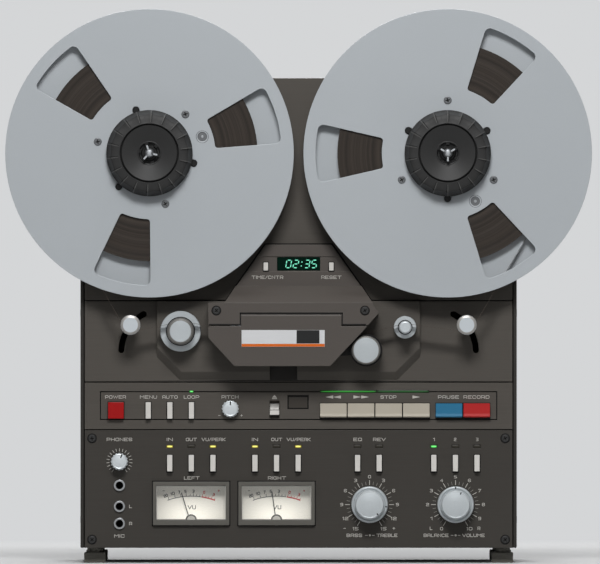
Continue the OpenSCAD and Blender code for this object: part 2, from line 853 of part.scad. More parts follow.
module amplifier_panel() {
  color("#3e3c37")
    difference() {
      slab(-panel_w / 2, panel_w / 2, 0, panel_t, amp_z, amp_z + amp_h);
      for (x = meter_x)
        block(x, window_z, window_w, window_h, -cut, panel_t + cut);
      for (x = concat(left_bank_x, right_bank_x, output_bank_x)) {
        block(x, amp_button_z, slim_w + 2 * slide_fit, mode_h + 2 * slide_fit, -cut, panel_t + cut);
        block(x, lamp_z, lamp_w + 2 * seat_fit, lamp_h + 2 * seat_fit, -cut, panel_t + cut);
      }
      rod(jack_x, phones_z, -cut, panel_t + cut, knob_shaft_r + run_fit);
      for (z = jack_z)
        rod(jack_x, z, -cut, panel_t + cut, barrel_out_r + seat_fit);
      for (x = [tone_x, volume_x])
        rod(x, dial_z, -cut, panel_t + cut, sleeve_r + run_fit);
      for (side = [-1, 1], z = screw_z)
        rod(side * screw_x, z, -cut, panel_t + cut, shank_r + seat_fit);
    }
}

// Fixed fittings of the front
module meter_bezels() {
  color("#5b5954")
    for (x = meter_x)
      union() {
        difference() {
          block(x, meter_z, bezel_w, bezel_h, -bezel_out, 0);
          block(x, window_z, window_w - 1, window_h - 1, -bezel_out - cut, cut);
        }
        rod(x, window_z - window_h / 2 + 0.2, -bezel_out + 1, -bezel_out + 2.2, dome_r);
      }
}

module meter_dials() {
  color("#e6dcc4")
    for (x = meter_x) {
      difference() {
        block(x, cup_z, cup_w, cup_h, panel_t, panel_t + cup_l);
        block(x, cup_z, cup_w - 2 * cup_wall, cup_h - 2 * cup_wall,
          panel_t - cut, panel_t + cup_l - cup_wall);
      }
      union() {
        block(x, cup_z, cup_w - 2 * cup_wall - 2 * seat_fit, cup_h - 2 * cup_wall - 2 * seat_fit,
          dial_d, dial_d + dial_t);
        rod(x, needle_pivot_z, needle_d - 0.4, dial_d + dial_t / 2, needle_pin_r);
      }
    }
}

module indicator_lamps() {
  color("#c8b23a") {
    for (x = concat(left_bank_x, right_bank_x, output_bank_x))
      block(x, lamp_z, lamp_w, lamp_h, -0.4, lamp_rear);
    block(mode_x + bank_pitch, strip_lamp_z, loop_lamp_w, strip_lamp_h, -0.2, lamp_rear);
    block(light_bar_x, strip_lamp_z, light_bar_w, strip_lamp_h, -0.2, lamp_rear);
  }
}

module jack_sockets() {
  color("#b9bcbe") {
    for (z = jack_z)
      difference() {
        union() {
          rod(jack_x, z, -nut_out, 0, nut_r);
          rod(jack_x, z, -nut_out / 2, jack_l + inlet_wall, barrel_out_r);
        }
        rod(jack_x, z, -nut_out - cut, jack_l, jack_r);
      }
    for (x = socket_x)
      union() {
        rod(x, socket_z, case_d - socket_in, cover_rear + cut, socket_neck_r);
        rod(x, socket_z, cover_rear + face_fit, cover_rear + socket_l, socket_r);
      }
    difference() {
      block(inlet_x, inlet_z, inlet_w, inlet_h, case_d - inlet_in, case_d + cover_t + inlet_out);
      block(inlet_x, inlet_z, inlet_w - 2 * inlet_wall, inlet_h - 2 * inlet_wall,
        case_d - inlet_in + inlet_wall, case_d + cover_t + inlet_out + cut);
    }
  }
}

module screw(x, z, d, length, r) {
  turned(x, z, [[0, d - head_out], [r * 0.72, d - head_out], [r, d - head_out * 0.35], [r, d],
    [shank_r, d], [shank_r, d + length], [0, d + length]]);
}

module panel_screws() {
  color("#1e1d1c") {
    for (side = [-1, 1], z = screw_z)
      screw(side * screw_x, z, 0, panel_t, screw_r);
    for (x = housing_screw_x)
      screw(x, housing_screw_z, -housing_d, ear_t, screw_r);
    for (side = [-1, 1], z = cover_screw_z)
      translate([side * cover_screw_x, face_y + case_d + cover_t, z])
        rotate([-90, 0, 0])
          cylinder(h = head_out, r = screw_r);
  }
}

// Inner pieces
module tape_heads() {
  plate_front = -plateau_h - 4;
  low = min([for (c = head_c) c[1]]) - 4;
  high = roof_z - cut;
  color("#a8abad") {
    slab(head_x[0] - head_w, head_x[2] + head_w, plate_front, -plateau_h, low, high);
    for (c = head_c)
      union() {
        rod(c[0], c[1], guide_front + 1, plate_front - face_fit, head_r);
        slab(c[0] - head_w / 2, c[0] + head_w / 2, guide_front + 1, plate_front - face_fit, c[1], high);
      }
  }
}

module drive_motors() {
  color("#6c6e70") {
    for (side = [-1, 1])
      difference() {
        union() {
          rod(side * spindle_x, spindle_z, reel_motor_d, reel_motor_end, reel_motor_r);
          rod(side * spindle_x, spindle_z, reel_motor_end - cut, reel_motor_end + 6, reel_motor_r / 3);
          for (a = [90, 210, 330])
            rod(side * spindle_x + reel_post_ring * cos(a), spindle_z + reel_post_ring * sin(a),
              panel_t, reel_motor_d + 1, motor_post_r);
        }
        rod(side * spindle_x, spindle_z, reel_motor_d - cut, reel_motor_end, motor_shaft_fit);
      }
    difference() {
      union() {
        rod(motor_c[0], motor_c[1], motor_plate_d, motor_plate_d + motor_plate_t, motor_plate_r);
        rod(motor_c[0], motor_c[1], motor_plate_d + 1, motor_plate_d + motor_l, motor_r);
        for (a = [90, 180, 270])
          rod(motor_c[0] + motor_post_ring * cos(a), motor_c[1] + motor_post_ring * sin(a),
            panel_t, motor_plate_d + 1, motor_post_r);
      }
      rod(motor_c[0], motor_c[1], motor_plate_d - cut, motor_plate_d + motor_l - 6, motor_shaft_r + run_fit);
    }
  }
}

function tangent_turn(a, b) = let(v = b[0] - a[0])
  atan2(v[1], v[0]) - asin((b[1] * b[2] - a[1] * a[2]) / norm(v));

module belt_area(grow) {
  a = [capstan_c, flywheel_r + grow, 1];
  b = [motor_c, pulley_r + grow, 1];
  up = tangent_turn(a, b) - 90;
  down = tangent_turn(b, a) - 90;
  polygon([a[0] + a[1] * [cos(up), sin(up)], b[0] + b[1] * [cos(up), sin(up)],
    b[0], b[0] + b[1] * [cos(down), sin(down)], a[0] + a[1] * [cos(down), sin(down)], a[0]]);
  translate(a[0])
    circle(r = a[1]);
  translate(b[0])
    circle(r = b[1]);
}

module drive_belt() {
  color("#1b1a1a")
    plate(belt_d, belt_d + belt_w)
      difference() {
        belt_area(slide_fit + belt_t);
        belt_area(slide_fit);
      }
}

module circuit_boards() {
  board_l = board_d[1] - board_d[0];
  color("#2f5d3a") {
    union() {
      slab(board_x[0], board_x[1], board_d[0], board_d[1], board_z, board_z + board_t);
      for (x = [board_x[0] + 8, board_x[1] - 8], d = [board_d[0] + 8, board_d[1] - 8])
        translate([x, face_y + d, floor_z])
          cylinder(h = board_z - floor_z + board_t / 2, r = 3);
      for (i = [0 : 3])
        translate([board_x[0] + 30 + i * 26, face_y + board_d[1] - 30, board_z])
          cylinder(h = 34, r = 10);
      slab(board_x[1] - 60, board_x[1] - 20, board_d[0] + 20, board_d[0] + board_l / 2,
        board_z, board_z + 26);
    }
    union() {
      slab(core_x - core_w / 2, core_x + core_w / 2, core_d, core_d + core_l, floor_z, floor_z + core_h);
      slab(core_x - core_w / 4, core_x + core_w / 4, core_d - coil_over, core_d + core_l + coil_over,
        floor_z + coil_over, floor_z + core_h - coil_over);
    }
    for (x = [tone_x, volume_x])
      difference() {
        rod(x, dial_z, panel_t, panel_t + big_pot_l, big_pot_r);
        rod(x, dial_z, panel_t - cut, panel_t + 5, sleeve_r + run_fit);
        rod(x, dial_z, panel_t, panel_t + big_pot_l - 1, knob_shaft_r + run_fit);
      }
    slab(tone_x - 20, volume_x + 20, panel_t + big_pot_l, panel_t + big_pot_l + board_t,
      dial_z - 20, dial_z + 20);
    for (p = [[pitch_x, button_z + 1.5], [jack_x, phones_z]])
      difference() {
        rod(p[0], p[1], panel_t, panel_t + pot_l, pot_r);
        rod(p[0], p[1], panel_t - cut, panel_t + pot_l - 1, knob_shaft_r + run_fit);
      }
  }
}

// Tape between the two packs, as one ribbon around the guides
run = concat([[[-spindle_x, spindle_z], supply_pack_r + run_gap, 1], [supply_post, post_r + run_gap, 1],
    [impedance_c, impedance_r + run_gap, -1]],
  [for (c = head_c) [c, head_r + run_gap, 1]],
  [[capstan_c, capstan_r + run_gap, 1], [pinch_c, pinch_r + run_gap, -1],
    [counter_c, counter_r + run_gap, -1], [takeup_post, post_r + run_gap, 1],
    [[spindle_x, spindle_z], takeup_pack_r + run_gap, 1]]);
last = len(run) - 1;
way = [for (i = [0 : last - 1]) tangent_turn(run[i], run[i + 1])];
function wrap(i) = let(s = run[i][2], w = (way[i] - way[i - 1]) * s) s * (w - 360 * floor(w / 360));
function steps(i) = max(1, ceil(abs(wrap(i)) / 9));
function run_angles(i) = i == 0 ? [way[0] - 90] : i == last ? [way[last - 1] - 90]
  : [for (k = [0 : steps(i)]) way[i - 1] - 90 * run[i][2] + wrap(i) * k / steps(i)];
function run_side(e) = [for (i = [0 : last], a = run_angles(i))
  run[i][0] + (run[i][1] + e * run[i][2] * tape_t / 2) * [cos(a), sin(a)]];
function turned_back(line) = [for (i = [len(line) - 1 : -1 : 0]) line[i]];

module tape_run() {
  color("#3a2a20")
    plate(tape_mid - tape_w / 2, tape_mid + tape_w / 2)
      polygon(concat(run_side(-1), turned_back(run_side(1))));
}

// Reels
function polar(r, a) = r * [cos(a), sin(a)];
function arc_span(size, r) = size / r * 180 / PI;

function flange_window(outer, inner) = concat(
  [for (t = [0 : 15 : 90]) polar(window_out - outer + outer * sin(t),
    -window_half + arc_span(outer, window_out) * (1 - cos(t)))],
  [for (a = [-8 : 2 : 8]) polar(window_out, a * window_half / 13)],
  [for (t = [90 : -15 : 0]) polar(window_out - outer + outer * sin(t),
    window_half - arc_span(outer, window_out) * (1 - cos(t)))],
  [for (t = [0 : 30 : 90]) polar(window_in + inner - inner * sin(t),
    window_half - arc_span(inner, window_in) * (1 - cos(t)))],
  [for (a = [8 : -4 : -8]) polar(window_in, a * window_half / 13)],
  [for (t = [90 : -30 : 0]) polar(window_in + inner - inner * sin(t),
    -window_half + arc_span(inner, window_in) * (1 - cos(t)))]);

module keyed_bore(grow) {
  circle(r = bore_r + grow);
  for (a = [30, 150, 270])
    rotate(a) {
      translate([0, -lug_r - grow])
        square([lug_ring, 2 * lug_r + 2 * grow]);
      translate([lug_ring, 0])
        circle(r = lug_r + grow);
    }
}

module flange_face(first) {
  difference() {
    circle(r = reel_r);
    keyed_bore(0);
    for (i = [0 : 2]) {
      rotate(first + i * 120)
        polygon(flange_window(5.5, 2.5));
      rotate(90 + i * 120)
        translate([screw_ring, 0])
          circle(r = shank_r + seat_fit);
    }
    children();
  }
}

module at_spindle(side, turn) {
  translate([side * spindle_x, spindle_z])
    rotate(turn)
      children();
}

module reel_flanges(side, turn) {
  color("#aaafb3") {
    plate(reel_front, reel_front + flange_t)
      at_spindle(side, turn)
        flange_face(60)
          rotate(300)
            translate([hub_r - anchor_r - 1.6, 0])
              circle(r = anchor_r);
    plate(-reel_stand - flange_t, -reel_stand)
      at_spindle(side, turn)
        flange_face(120);
  }
}

module reel_hub(side, turn) {
  color("#c4c6c8") {
    plate(reel_front + flange_t, -reel_stand - flange_t)
      at_spindle(side, turn)
        difference() {
          circle(r = hub_r);
          keyed_bore(0);
          for (i = [0 : 2])
            rotate(90 + i * 120)
              translate([screw_ring, 0])
                circle(r = shank_r + seat_fit);
        }
    for (i = [0 : 2]) {
      c = [side * spindle_x, spindle_z] + polar(screw_ring, turn + 90 + i * 120);
      turned(c[0], c[1], [[0, reel_front - 0.9], [reel_screw_r * 0.8, reel_front - 0.9],
        [reel_screw_r, reel_front - 0.3], [reel_screw_r, reel_front], [shank_r, reel_front],
        [shank_r, -reel_stand], [0, -reel_stand]]);
    }
  }
}

// The outer turn climbs once round the plain core and ends where the tape leaves
module tape_pack(side, pack_r, leave) {
  rise = [for (i = [0 : 119]) side < 0 ? i / 119 : 1 - i / 119];
  color("#3b2c24")
    plate(tape_mid - tape_w / 2, tape_mid + tape_w / 2)
      translate([side * spindle_x, spindle_z])
        difference() {
          polygon([for (i = [0 : 119]) polar(pack_r - tape_t * (1 - rise[i]), leave + i * 3)]);
          circle(r = hub_r + seat_fit);
        }
}

module spindle(side, turn) {
  tip = -front_reach;
  color("#b4b7ba")
    union() {
      turned(side * spindle_x, spindle_z, [[0, tip + 1], [spindle_r - 1.5, tip + 1], [spindle_r, tip + 2.5],
        [spindle_r, -reel_stand + face_fit], [table_r, -reel_stand + face_fit],
        [table_r, -reel_stand + table_t], [table_boss_r, -reel_stand + table_t], [table_boss_r, -table_space],
        [spindle_r, -table_space], [spindle_r, reel_motor_end - 2], [0, reel_motor_end - 2]]);
      plate(tip, tip + prong_l)
        at_spindle(side, turn)
          for (a = [30, 150, 270])
            rotate(a)
              translate([0, -prong_w / 2])
                square([prong_r, prong_w]);
    }
}

module hub_adapter(side, turn) {
  rear = -reel_stand - cut;
  skirt = reel_front - face_fit;
  rim = skirt - adapter_h * 0.36;
  top = adapter_front;
  well = top + 6;
  color("#33312f")
    difference() {
      union() {
        turned(side * spindle_x, spindle_z, [[adapter_bore_r, rear], [bore_r - seat_fit, rear],
          [bore_r - seat_fit, skirt], [adapter_r, skirt], [adapter_r, rim],
          [adapter_r - adapter_slope, top + 1.5], [disc_r + groove_r, top], [disc_r + groove_r, top + 2],
          [disc_r, top + 2], [disc_r, top + 1], [prong_r + 2, top + 2.2], [prong_r + 2, well],
          [adapter_bore_r, well]]);
        plate(skirt - 1.4, rear)
          at_spindle(side, turn)
            difference() {
              keyed_bore(-seat_fit);
              circle(r = bore_r - 3);
            }
      }
      plate(top - cut, rim + 2)
        at_spindle(side, turn)
          for (i = [0 : scallops - 1])
            rotate(i * 360 / scallops)
              translate([scallop_ring, 0])
                circle(r = scallop_r);
    }
}

// Moving pieces of the tape path
module tension_arm(side) {
  post = side < 0 ? supply_post : takeup_post;
  pivot = [side * arm_pivot_x, arm_pivot_z];
  v = post - pivot;
  color("#b7babc")
    union() {
      difference() {
        plate(arm_d, arm_d + arm_t)
          translate(pivot)
            rotate(atan2(v[1], v[0])) {
              circle(r = stud_r + 4);
              translate([0, -3.5])
                square([arm_r, 7]);
              translate([arm_r, 0])
                circle(r = stem_r + 2.5);
            }
        rod(pivot[0], pivot[1], arm_d - cut, arm_d + arm_t + cut, stud_r + run_fit);
      }
      turned(post[0], post[1], [[0, cap_front], [post_cap_r - 1, cap_front], [post_cap_r, cap_front + 1],
        [post_cap_r, guide_front], [post_r, guide_front], [post_r, guide_rear], [post_cap_r - 1, guide_rear],
        [post_cap_r - 1, guide_rear + 1.5], [stem_r, guide_rear + 1.5], [stem_r, arm_d + arm_t / 2],
        [0, arm_d + arm_t / 2]]);
    }
}

module guide_roller(c, core_r, flange_r, cap_r, dome) {
  back = -plateau_h - 2;
  color("#c3c5c7")
    turned(c[0], c[1], [[0, cap_front], [cap_r - dome, cap_front], [cap_r, cap_front + dome],
      [cap_r, guide_front], [core_r, guide_front], [core_r, guide_rear], [flange_r, guide_rear],
      [flange_r, back], [axle_r, back], [axle_r, boss_end + 2], [0, boss_end + 2]]);
}

module capstan_flywheel() {
  rim_in = flywheel_r - flywheel_rim;
  web = flywheel_d + web_d;
  back = flywheel_d + flywheel_t;
  color("#9fa3a6") {
    rod(capstan_c[0], capstan_c[1], guide_front + 1, back, capstan_r);
    turned(capstan_c[0], capstan_c[1], [[capstan_r + run_fit, flywheel_d], [flywheel_hub_r, flywheel_d],
      [flywheel_hub_r, web], [rim_in, web], [rim_in, flywheel_d], [flywheel_r, flywheel_d],
      [flywheel_r, back], [capstan_r + run_fit, back]]);
  }
}

module motor_pulley() {
  flange = pulley_r + belt_t + slide_fit + 0.6;
  color("#c9a85a")
    turned(motor_c[0], motor_c[1], [[0, belt_d - 2], [flange, belt_d - 2], [flange, belt_d - 0.5],
      [pulley_r, belt_d - 0.5], [pulley_r, belt_d + belt_w + 0.5], [flange, belt_d + belt_w + 0.5],
      [flange, belt_d + belt_w + 1.4], [motor_shaft_r, belt_d + belt_w + 1.4],
      [motor_shaft_r, motor_plate_d + motor_l - 8], [0, motor_plate_d + motor_l - 8]]);
}

module pinch_arm() {
  front = -plateau_h - 5;
  back = -plateau_h - 1;
  v = pinch_c - pinch_pivot;
  color("#8b8d8f")
    union() {
      plate(front, back)
        translate(pinch_pivot)
          rotate(atan2(v[1], v[0])) {
            circle(r = stud_r + 4);
            translate([0, -pinch_arm_w / 2])
              square([norm(v), pinch_arm_w]);
            translate([norm(v), 0])
              circle(r = axle_r + 3);
          }
      rod(pinch_pivot[0], pinch_pivot[1], back - 1, boss_end + 1, stud_r);
      rod(pinch_c[0], pinch_c[1], guide_front + 1, front + 1, axle_r);
    }
}

module pinch_roller() {
  back = -plateau_h - 5.6;
  color("#161615") {
    difference() {
      rod(pinch_c[0], pinch_c[1], guide_front, back, pinch_r);
      rod(pinch_c[0], pinch_c[1], guide_front - cut, back + cut, axle_r + run_fit);
    }
    turned(pinch_c[0], pinch_c[1], [[0, cap_front + 0.5], [pinch_cap_r - 1.5, cap_front + 0.5],
      [pinch_cap_r, cap_front + 2], [pinch_cap_r, guide_front - face_fit], [0, guide_front - face_fit]]);
  }
}

module head_cover() {
  front = -housing_d;
  low = trn_z + flap_low;
  color("#4a4743")
    union() {
      plate(front, front + flap_t)
        polygon([[-hinge_l + flap_fit, barrel_z], [hinge_r - flap_fit, barrel_z],
          [hinge_r - flap_fit, shoulder_z], [flap_slant[0] + 2, shoulder_z], flap_slant, [flap_corner, low],
          [-housing_l + flap_cut_w, low], [-housing_l, low + flap_cut_h], [-housing_l, shoulder_z],
          [-hinge_l + flap_fit, shoulder_z]]);
      across(-hinge_l + flap_fit, hinge_r - flap_fit, barrel_d, barrel_z, barrel_r);
      across(-hinge_l - pin_l, hinge_r + pin_l, barrel_d, barrel_z, pin_r);
      slab(-housing_l + flap_cut_w + 1, flap_corner - 1, front + 1, front + 1 + flap_lip_d,
        low, low + flap_lip_t);
    }
}

// Buttons, keys and knobs
module push_cap(x, z, w, h, out) {
  union() {
    block(x, z, w, h, -out, cap_rear);
    block(x, z, w, h + 2 * stop_lip, panel_t + stop_gap, cap_rear);
  }
}

module transport_key(x, tint) {
  low = button_z - key_h / 2;
  high = button_z + key_h / 2;
  color(tint)
    union() {
      side_profile(x - key_w / 2, x + key_w / 2, [[cap_rear, low], [-key_out, low], [-key_out, low + key_lip],
        [-key_out + key_dip, low + 2 * key_lip], [-key_out + 0.7 * key_dip, high], [cap_rear, high]]);
      block(x, button_z, key_w, key_h + 2 * stop_lip, panel_t + stop_gap, cap_rear);
    }
}

module slim_bank(xs, z, h) {
  color("#b9b3a5")
    for (x = xs)
      push_cap(x, z, slim_w, h, key_out - 1);
}

module counter_buttons() {
  color("#b9b3a5")
    for (side = [-1, 1])
      push_cap(side * counter_button_x, counter_button_z, counter_button_w, counter_button_h,
        counter_proud + 1.8);
}

module small_knob(x, z, out) {
  color("#2b2a28")
    difference() {
      turned(x, z, [[0, -out], [knob_r - 1, -out], [knob_r, -out + 1], [knob_r, -knob_lift],
        [knob_shaft_r, -knob_lift], [knob_shaft_r, panel_t + pot_l - 2], [0, panel_t + pot_l - 2]]);
      plate(-out - cut, -knob_lift - 2)
        translate([x, z])
          for (i = [0 : knob_scallops - 1])
            rotate((i + 0.5) * 360 / knob_scallops)
              translate([knob_r + knob_scallop_r / 3, 0])
                circle(r = knob_scallop_r);
    }
}

module dial_ring(x) {
  color("#2d2c2a")
    turned(x, dial_z, [[knob_shaft_r + run_fit, -ring_out], [ring_r - 1.5, -ring_out],
      [ring_r, -ring_out + 1.5], [ring_r, -knob_lift], [sleeve_r, -knob_lift], [sleeve_r, panel_t + 4],
      [knob_shaft_r + run_fit, panel_t + 4]]);
}

module dial_knob(x) {
  color("#3a3937")
    turned(x, dial_z, [[0, -inner_out], [inner_r - 1, -inner_out], [inner_r, -inner_out + 1],
      [inner_r, -ring_out - 0.4], [knob_shaft_r, -ring_out - 0.4], [knob_shaft_r, panel_t + big_pot_l - 2],
      [0, panel_t + big_pot_l - 2]]);
}

module meter_needle(x, lean) {
  color("#1a1a1a")
    difference() {
      plate(needle_d, needle_d + needle_t)
        translate([x, needle_pivot_z])
          rotate(lean) {
            circle(r = needle_hub_r);
            translate([-needle_w / 2, 0])
              square([needle_w, needle_l]);
          }
      rod(x, needle_pivot_z, needle_d - cut, needle_d + needle_t + cut, needle_pin_r + run_fit);
    }
}

module slide_lever() {
  low = lever_z - lever_h / 2;
  high = lever_z + lever_h / 2;
  color("#c8c6c0")
    union() {
      side_profile(lever_x - lever_w / 2, lever_x + lever_w / 2, [[cap_rear, low], [-lever_out, low],
        [-lever_out, low + 4.5], [-lever_out + 1.5, low + 5], [-1, high], [cap_rear, high]]);
      block(lever_x, lever_z, lever_w + 2 * stop_lip, lever_h, panel_t + stop_gap, cap_rear);
    }
}

cabinet_shell();
rear_cover();
chassis_frame();
reel_deck_panel();
transport_panel();
head_housing();
control_panel();
amplifier_panel();
meter_bezels();
meter_dials();
counter_display();
indicator_lamps();
jack_sockets();
panel_screws();
feet();
tape_heads();
drive_motors();
drive_belt();
circuit_boards();
tape_run();
reel_flanges(-1, supply_turn);  // supply_reel_flanges
reel_hub(-1, supply_turn);  // supply_reel_hub
tape_pack(-1, supply_pack_r, way[0] - 90);  // supply_tape_pack
spindle(-1, supply_turn);  // supply_spindle
hub_adapter(-1, supply_turn);  // supply_hub_adapter
reel_flanges(1, 0);  // takeup_reel_flanges
reel_hub(1, 0);  // takeup_reel_hub
tape_pack(1, takeup_pack_r, way[last - 1] - 90);  // takeup_tape_pack
spindle(1, 0);  // takeup_spindle
hub_adapter(1, 0);  // takeup_hub_adapter
tension_arm(-1);  // supply_tension_arm
tension_arm(1);  // takeup_tension_arm
guide_roller(impedance_c, impedance_r, impedance_flange_r, impedance_cap_r, 1);  // impedance_roller
guide_roller(counter_c, counter_r, counter_flange_r, counter_cap_r, 2);  // counter_roller
capstan_flywheel();
motor_pulley();
pinch_arm();
pinch_roller();
head_cover();
color("#a5322f") push_cap(power_x, button_z, power_w, mode_h, key_out - 1);  // power_button
transport_key(key_x, "#b9b3a5");  // rewind_key
transport_key(key_x + key_pitch, "#b9b3a5");  // fast_forward_key
transport_key(key_x + 2 * key_pitch, "#b9b3a5");  // stop_key
transport_key(key_x + 3 * key_pitch, "#b9b3a5");  // play_key
transport_key(pause_x, "#2d6e91");  // pause_key
transport_key(pause_x + key_pitch, "#af2828");  // record_key
small_knob(pitch_x, button_z + 1.5, knob_out);  // pitch_knob
small_knob(jack_x, phones_z, knob_out + 3);  // phones_knob
dial_ring(tone_x);  // bass_ring
dial_knob(tone_x);  // treble_knob
dial_ring(volume_x);  // balance_ring
dial_knob(volume_x);  // volume_knob
meter_needle(meter_l_x, needle_l_rest);  // left_meter_needle
meter_needle(meter_r_x, needle_r_rest);  // right_meter_needle
slide_lever();
counter_buttons();
slim_bank([for (i = [-1 : 1]) mode_x + i * bank_pitch], button_z, mode_h);  // mode_buttons
slim_bank(left_bank_x, amp_button_z, mode_h);  // left_channel_buttons
slim_bank(right_bank_x, amp_button_z, mode_h);  // right_channel_buttons
slim_bank(output_bank_x, amp_button_z, mode_h);  // output_buttons
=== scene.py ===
"""Looks of a reel-to-reel tape recorder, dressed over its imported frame."""

import logging
import math
from dataclasses import dataclass, field
from enum import Enum
from typing import Callable, ClassVar, Sequence

import bmesh
import bpy
from bmesh.types import BMVert
from bpy.types import Material, Mesh, Node, NodeSocket, NodeTree, Object
from mathutils import Matrix, Vector


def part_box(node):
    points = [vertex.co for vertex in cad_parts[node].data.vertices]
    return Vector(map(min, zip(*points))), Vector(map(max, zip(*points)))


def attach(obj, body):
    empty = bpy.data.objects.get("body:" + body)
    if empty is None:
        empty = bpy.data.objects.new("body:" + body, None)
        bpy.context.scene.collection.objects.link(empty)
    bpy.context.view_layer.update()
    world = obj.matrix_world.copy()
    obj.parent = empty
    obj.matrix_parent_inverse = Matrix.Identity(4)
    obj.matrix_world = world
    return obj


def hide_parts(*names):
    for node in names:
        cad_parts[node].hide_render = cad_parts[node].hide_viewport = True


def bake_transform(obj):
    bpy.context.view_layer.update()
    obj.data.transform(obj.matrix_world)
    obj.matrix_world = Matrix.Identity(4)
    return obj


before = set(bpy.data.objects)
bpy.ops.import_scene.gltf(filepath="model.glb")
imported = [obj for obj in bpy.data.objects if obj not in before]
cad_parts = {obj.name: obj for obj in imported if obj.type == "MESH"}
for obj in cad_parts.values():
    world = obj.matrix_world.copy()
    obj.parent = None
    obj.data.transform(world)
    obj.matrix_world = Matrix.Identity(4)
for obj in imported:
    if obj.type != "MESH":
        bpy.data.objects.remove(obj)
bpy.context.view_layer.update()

MM = 0.001
FACE_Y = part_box("reel_deck_panel")[0].y
# Depth of the cabinet's upright middle line behind the panel face, in millimetres.
MID_DEPTH = 100.0
Flat = tuple[float, float]
Point = tuple[float, float, float]
Colour = tuple[int, int, int]
log = logging.getLogger("tape_recorder")


class Pattern(Enum):
    """Direction of the fine marks that a machined surface carries."""

    PLAIN = "plain"
    BRUSHED = "brushed"
    TURNED = "turned"


class Lamp(Enum):
    """State of an indicator lamp."""

    DARK = 0
    YELLOW = 1
    GREEN = 2
    DIM = 3
    BAR = 4


class Tree(Enum):
    """Kinds of node tree, with the socket that each takes first and the kind that it gives."""

    SHADER = ("Vector", "Float")
    GEOMETRY = ("Geometry", "Geometry")


class Side(Enum):
    """The two reels, by the sign of their place across the deck."""

    SUPPLY = -1
    TAKEUP = 1


def linear(colour: Colour) -> Point:
    """Turns an sRGB colour of 0 to 255 into linear values."""
    return tuple(v / 3294.6 if v <= 10 else ((v / 255 + 0.055) / 1.055) ** 2.4 for v in colour)


def polar(radius: float, angle: float, x: float = 0.0, z: float = 0.0) -> Flat:
    """Gives the point round a centre at an angle in degrees, counted clockwise from the top."""
    return (x + radius * math.sin(math.radians(angle)), z + radius * math.cos(math.radians(angle)))


def rectangle(x: float, z: float, width: float, height: float) -> list[Flat]:
    """Gives the corners of a rectangle by its middle, counterclockwise from the lower left."""
    w, h = width / 2, height / 2
    return [(x - w, z - h), (x + w, z - h), (x + w, z + h), (x - w, z + h)]


def place(x: float, d: float, z: float) -> Vector:
    """Turns millimetres across, behind the panel face and up into the frame's metres."""
    return Vector((x * MM, FACE_Y + d * MM, z * MM))


class NodeSheet:
    """Adds and links the nodes of one tree."""

    def __init__(self, tree: NodeTree) -> None:
        """Keeps the tree that the nodes go into."""
        self.tree = tree

    def plug(self, node: Node, key: str | int, value: object) -> None:
        """Sets one input of a node.

        Args:
            node: The node.
            key: The input's name or number.
            value: A plain value, or the socket that it comes from.
        """
        if isinstance(value, NodeSocket):
            self.tree.links.new(value, node.inputs[key])
        else:
            node.inputs[key].default_value = value

    def add(self, kind: str, inputs: dict | None = None, **settings: object) -> Node:
        """Adds one node.

        Args:
            kind: The node's type name.
            inputs: A value or another node's socket for each named or numbered input.
            settings: The node's own properties.

        Returns:
            The new node.
        """
        node = self.tree.nodes.new(kind)
        for key, value in settings.items():
            setattr(node, key, value)
        for key, value in (inputs or {}).items():
            self.plug(node, key, value)
        return node

    def math(self, operation: str, *values: object, clamp: bool = False) -> NodeSocket:
        """Gives the result of a Math node for numbers or sockets, kept within 0 and 1 if asked."""
        node = self.add("ShaderNodeMath", dict(enumerate(values)), operation=operation, use_clamp=clamp)
        return node.outputs[0]

    def vector(self, operation: str, *values: object) -> NodeSocket:
        """Gives the vector result of a Vector Math node."""
        return self.add("ShaderNodeVectorMath", dict(enumerate(values)), operation=operation).outputs[0]

    def number(self, operation: str, *values: object) -> NodeSocket:
        """Gives the number that a Vector Math node finds."""
        node = self.add("ShaderNodeVectorMath", dict(enumerate(values)), operation=operation)
        return node.outputs["Value"]

    def ramp(self, value: object, low: float, high: float, start: float = 0.0,
             end: float = 1.0) -> NodeSocket:
        """Maps a value smoothly from low and high to start and end, and holds it beyond them."""
        inputs = {0: value, 1: low, 2: high, 3: start, 4: end}
        return self.add("ShaderNodeMapRange", inputs, interpolation_type="SMOOTHSTEP").outputs[0]

    def mix(self, factor: object, first: object, second: object) -> NodeSocket:
        """Mixes two colours, by the share of the second."""
        return self.add("ShaderNodeMix", {0: factor, 6: first, 7: second}, data_type="RGBA").outputs[2]

    def noise(self, coords: object, scale: object, detail: float, **inputs: float) -> NodeSocket:
        """Gives a noise texture's value at some coordinates."""
        inputs = {"Vector": coords, "Scale": scale, "Detail": detail, **inputs}
        return self.add("ShaderNodeTexNoise", inputs).outputs[0]

    def scaled(self, colour: Colour, factor: object) -> NodeSocket:
        """Gives an sRGB colour, made linear and multiplied by a factor."""
        inputs = {0: linear(colour), "Scale": factor}
        return self.add("ShaderNodeVectorMath", inputs, operation="SCALE").outputs[0]

    def group(self, tree: NodeTree, coords: object, **inputs: float) -> object:
        """Adds a shared group that reads some coordinates, and gives its outputs."""
        return self.add("ShaderNodeGroup", {"Vector": coords, **inputs}, node_tree=tree).outputs


class MaterialSheet(NodeSheet):
    """The nodes of one material, with its shader and its object coordinates."""

    def __init__(self, tree: NodeTree) -> None:
        """Starts with the shader alone.

        Args:
            tree: The material's tree.
        """
        super().__init__(tree)
        self.shader = self.add("ShaderNodeBsdfPrincipled")
        self.coords = self.add("ShaderNodeTexCoord").outputs["Object"]

    def feed(self, key: str, value: object) -> None:
        """Sets one input of the shader, to a value or from a socket."""
        self.plug(self.shader, key, value)

    def relief(self, height: object, strength: float) -> None:
        """Bumps the surface by a height."""
        bump = self.add("ShaderNodeBump", {"Strength": strength, "Distance": 0.0002, "Height": height})
        self.feed("Normal", bump.outputs[0])


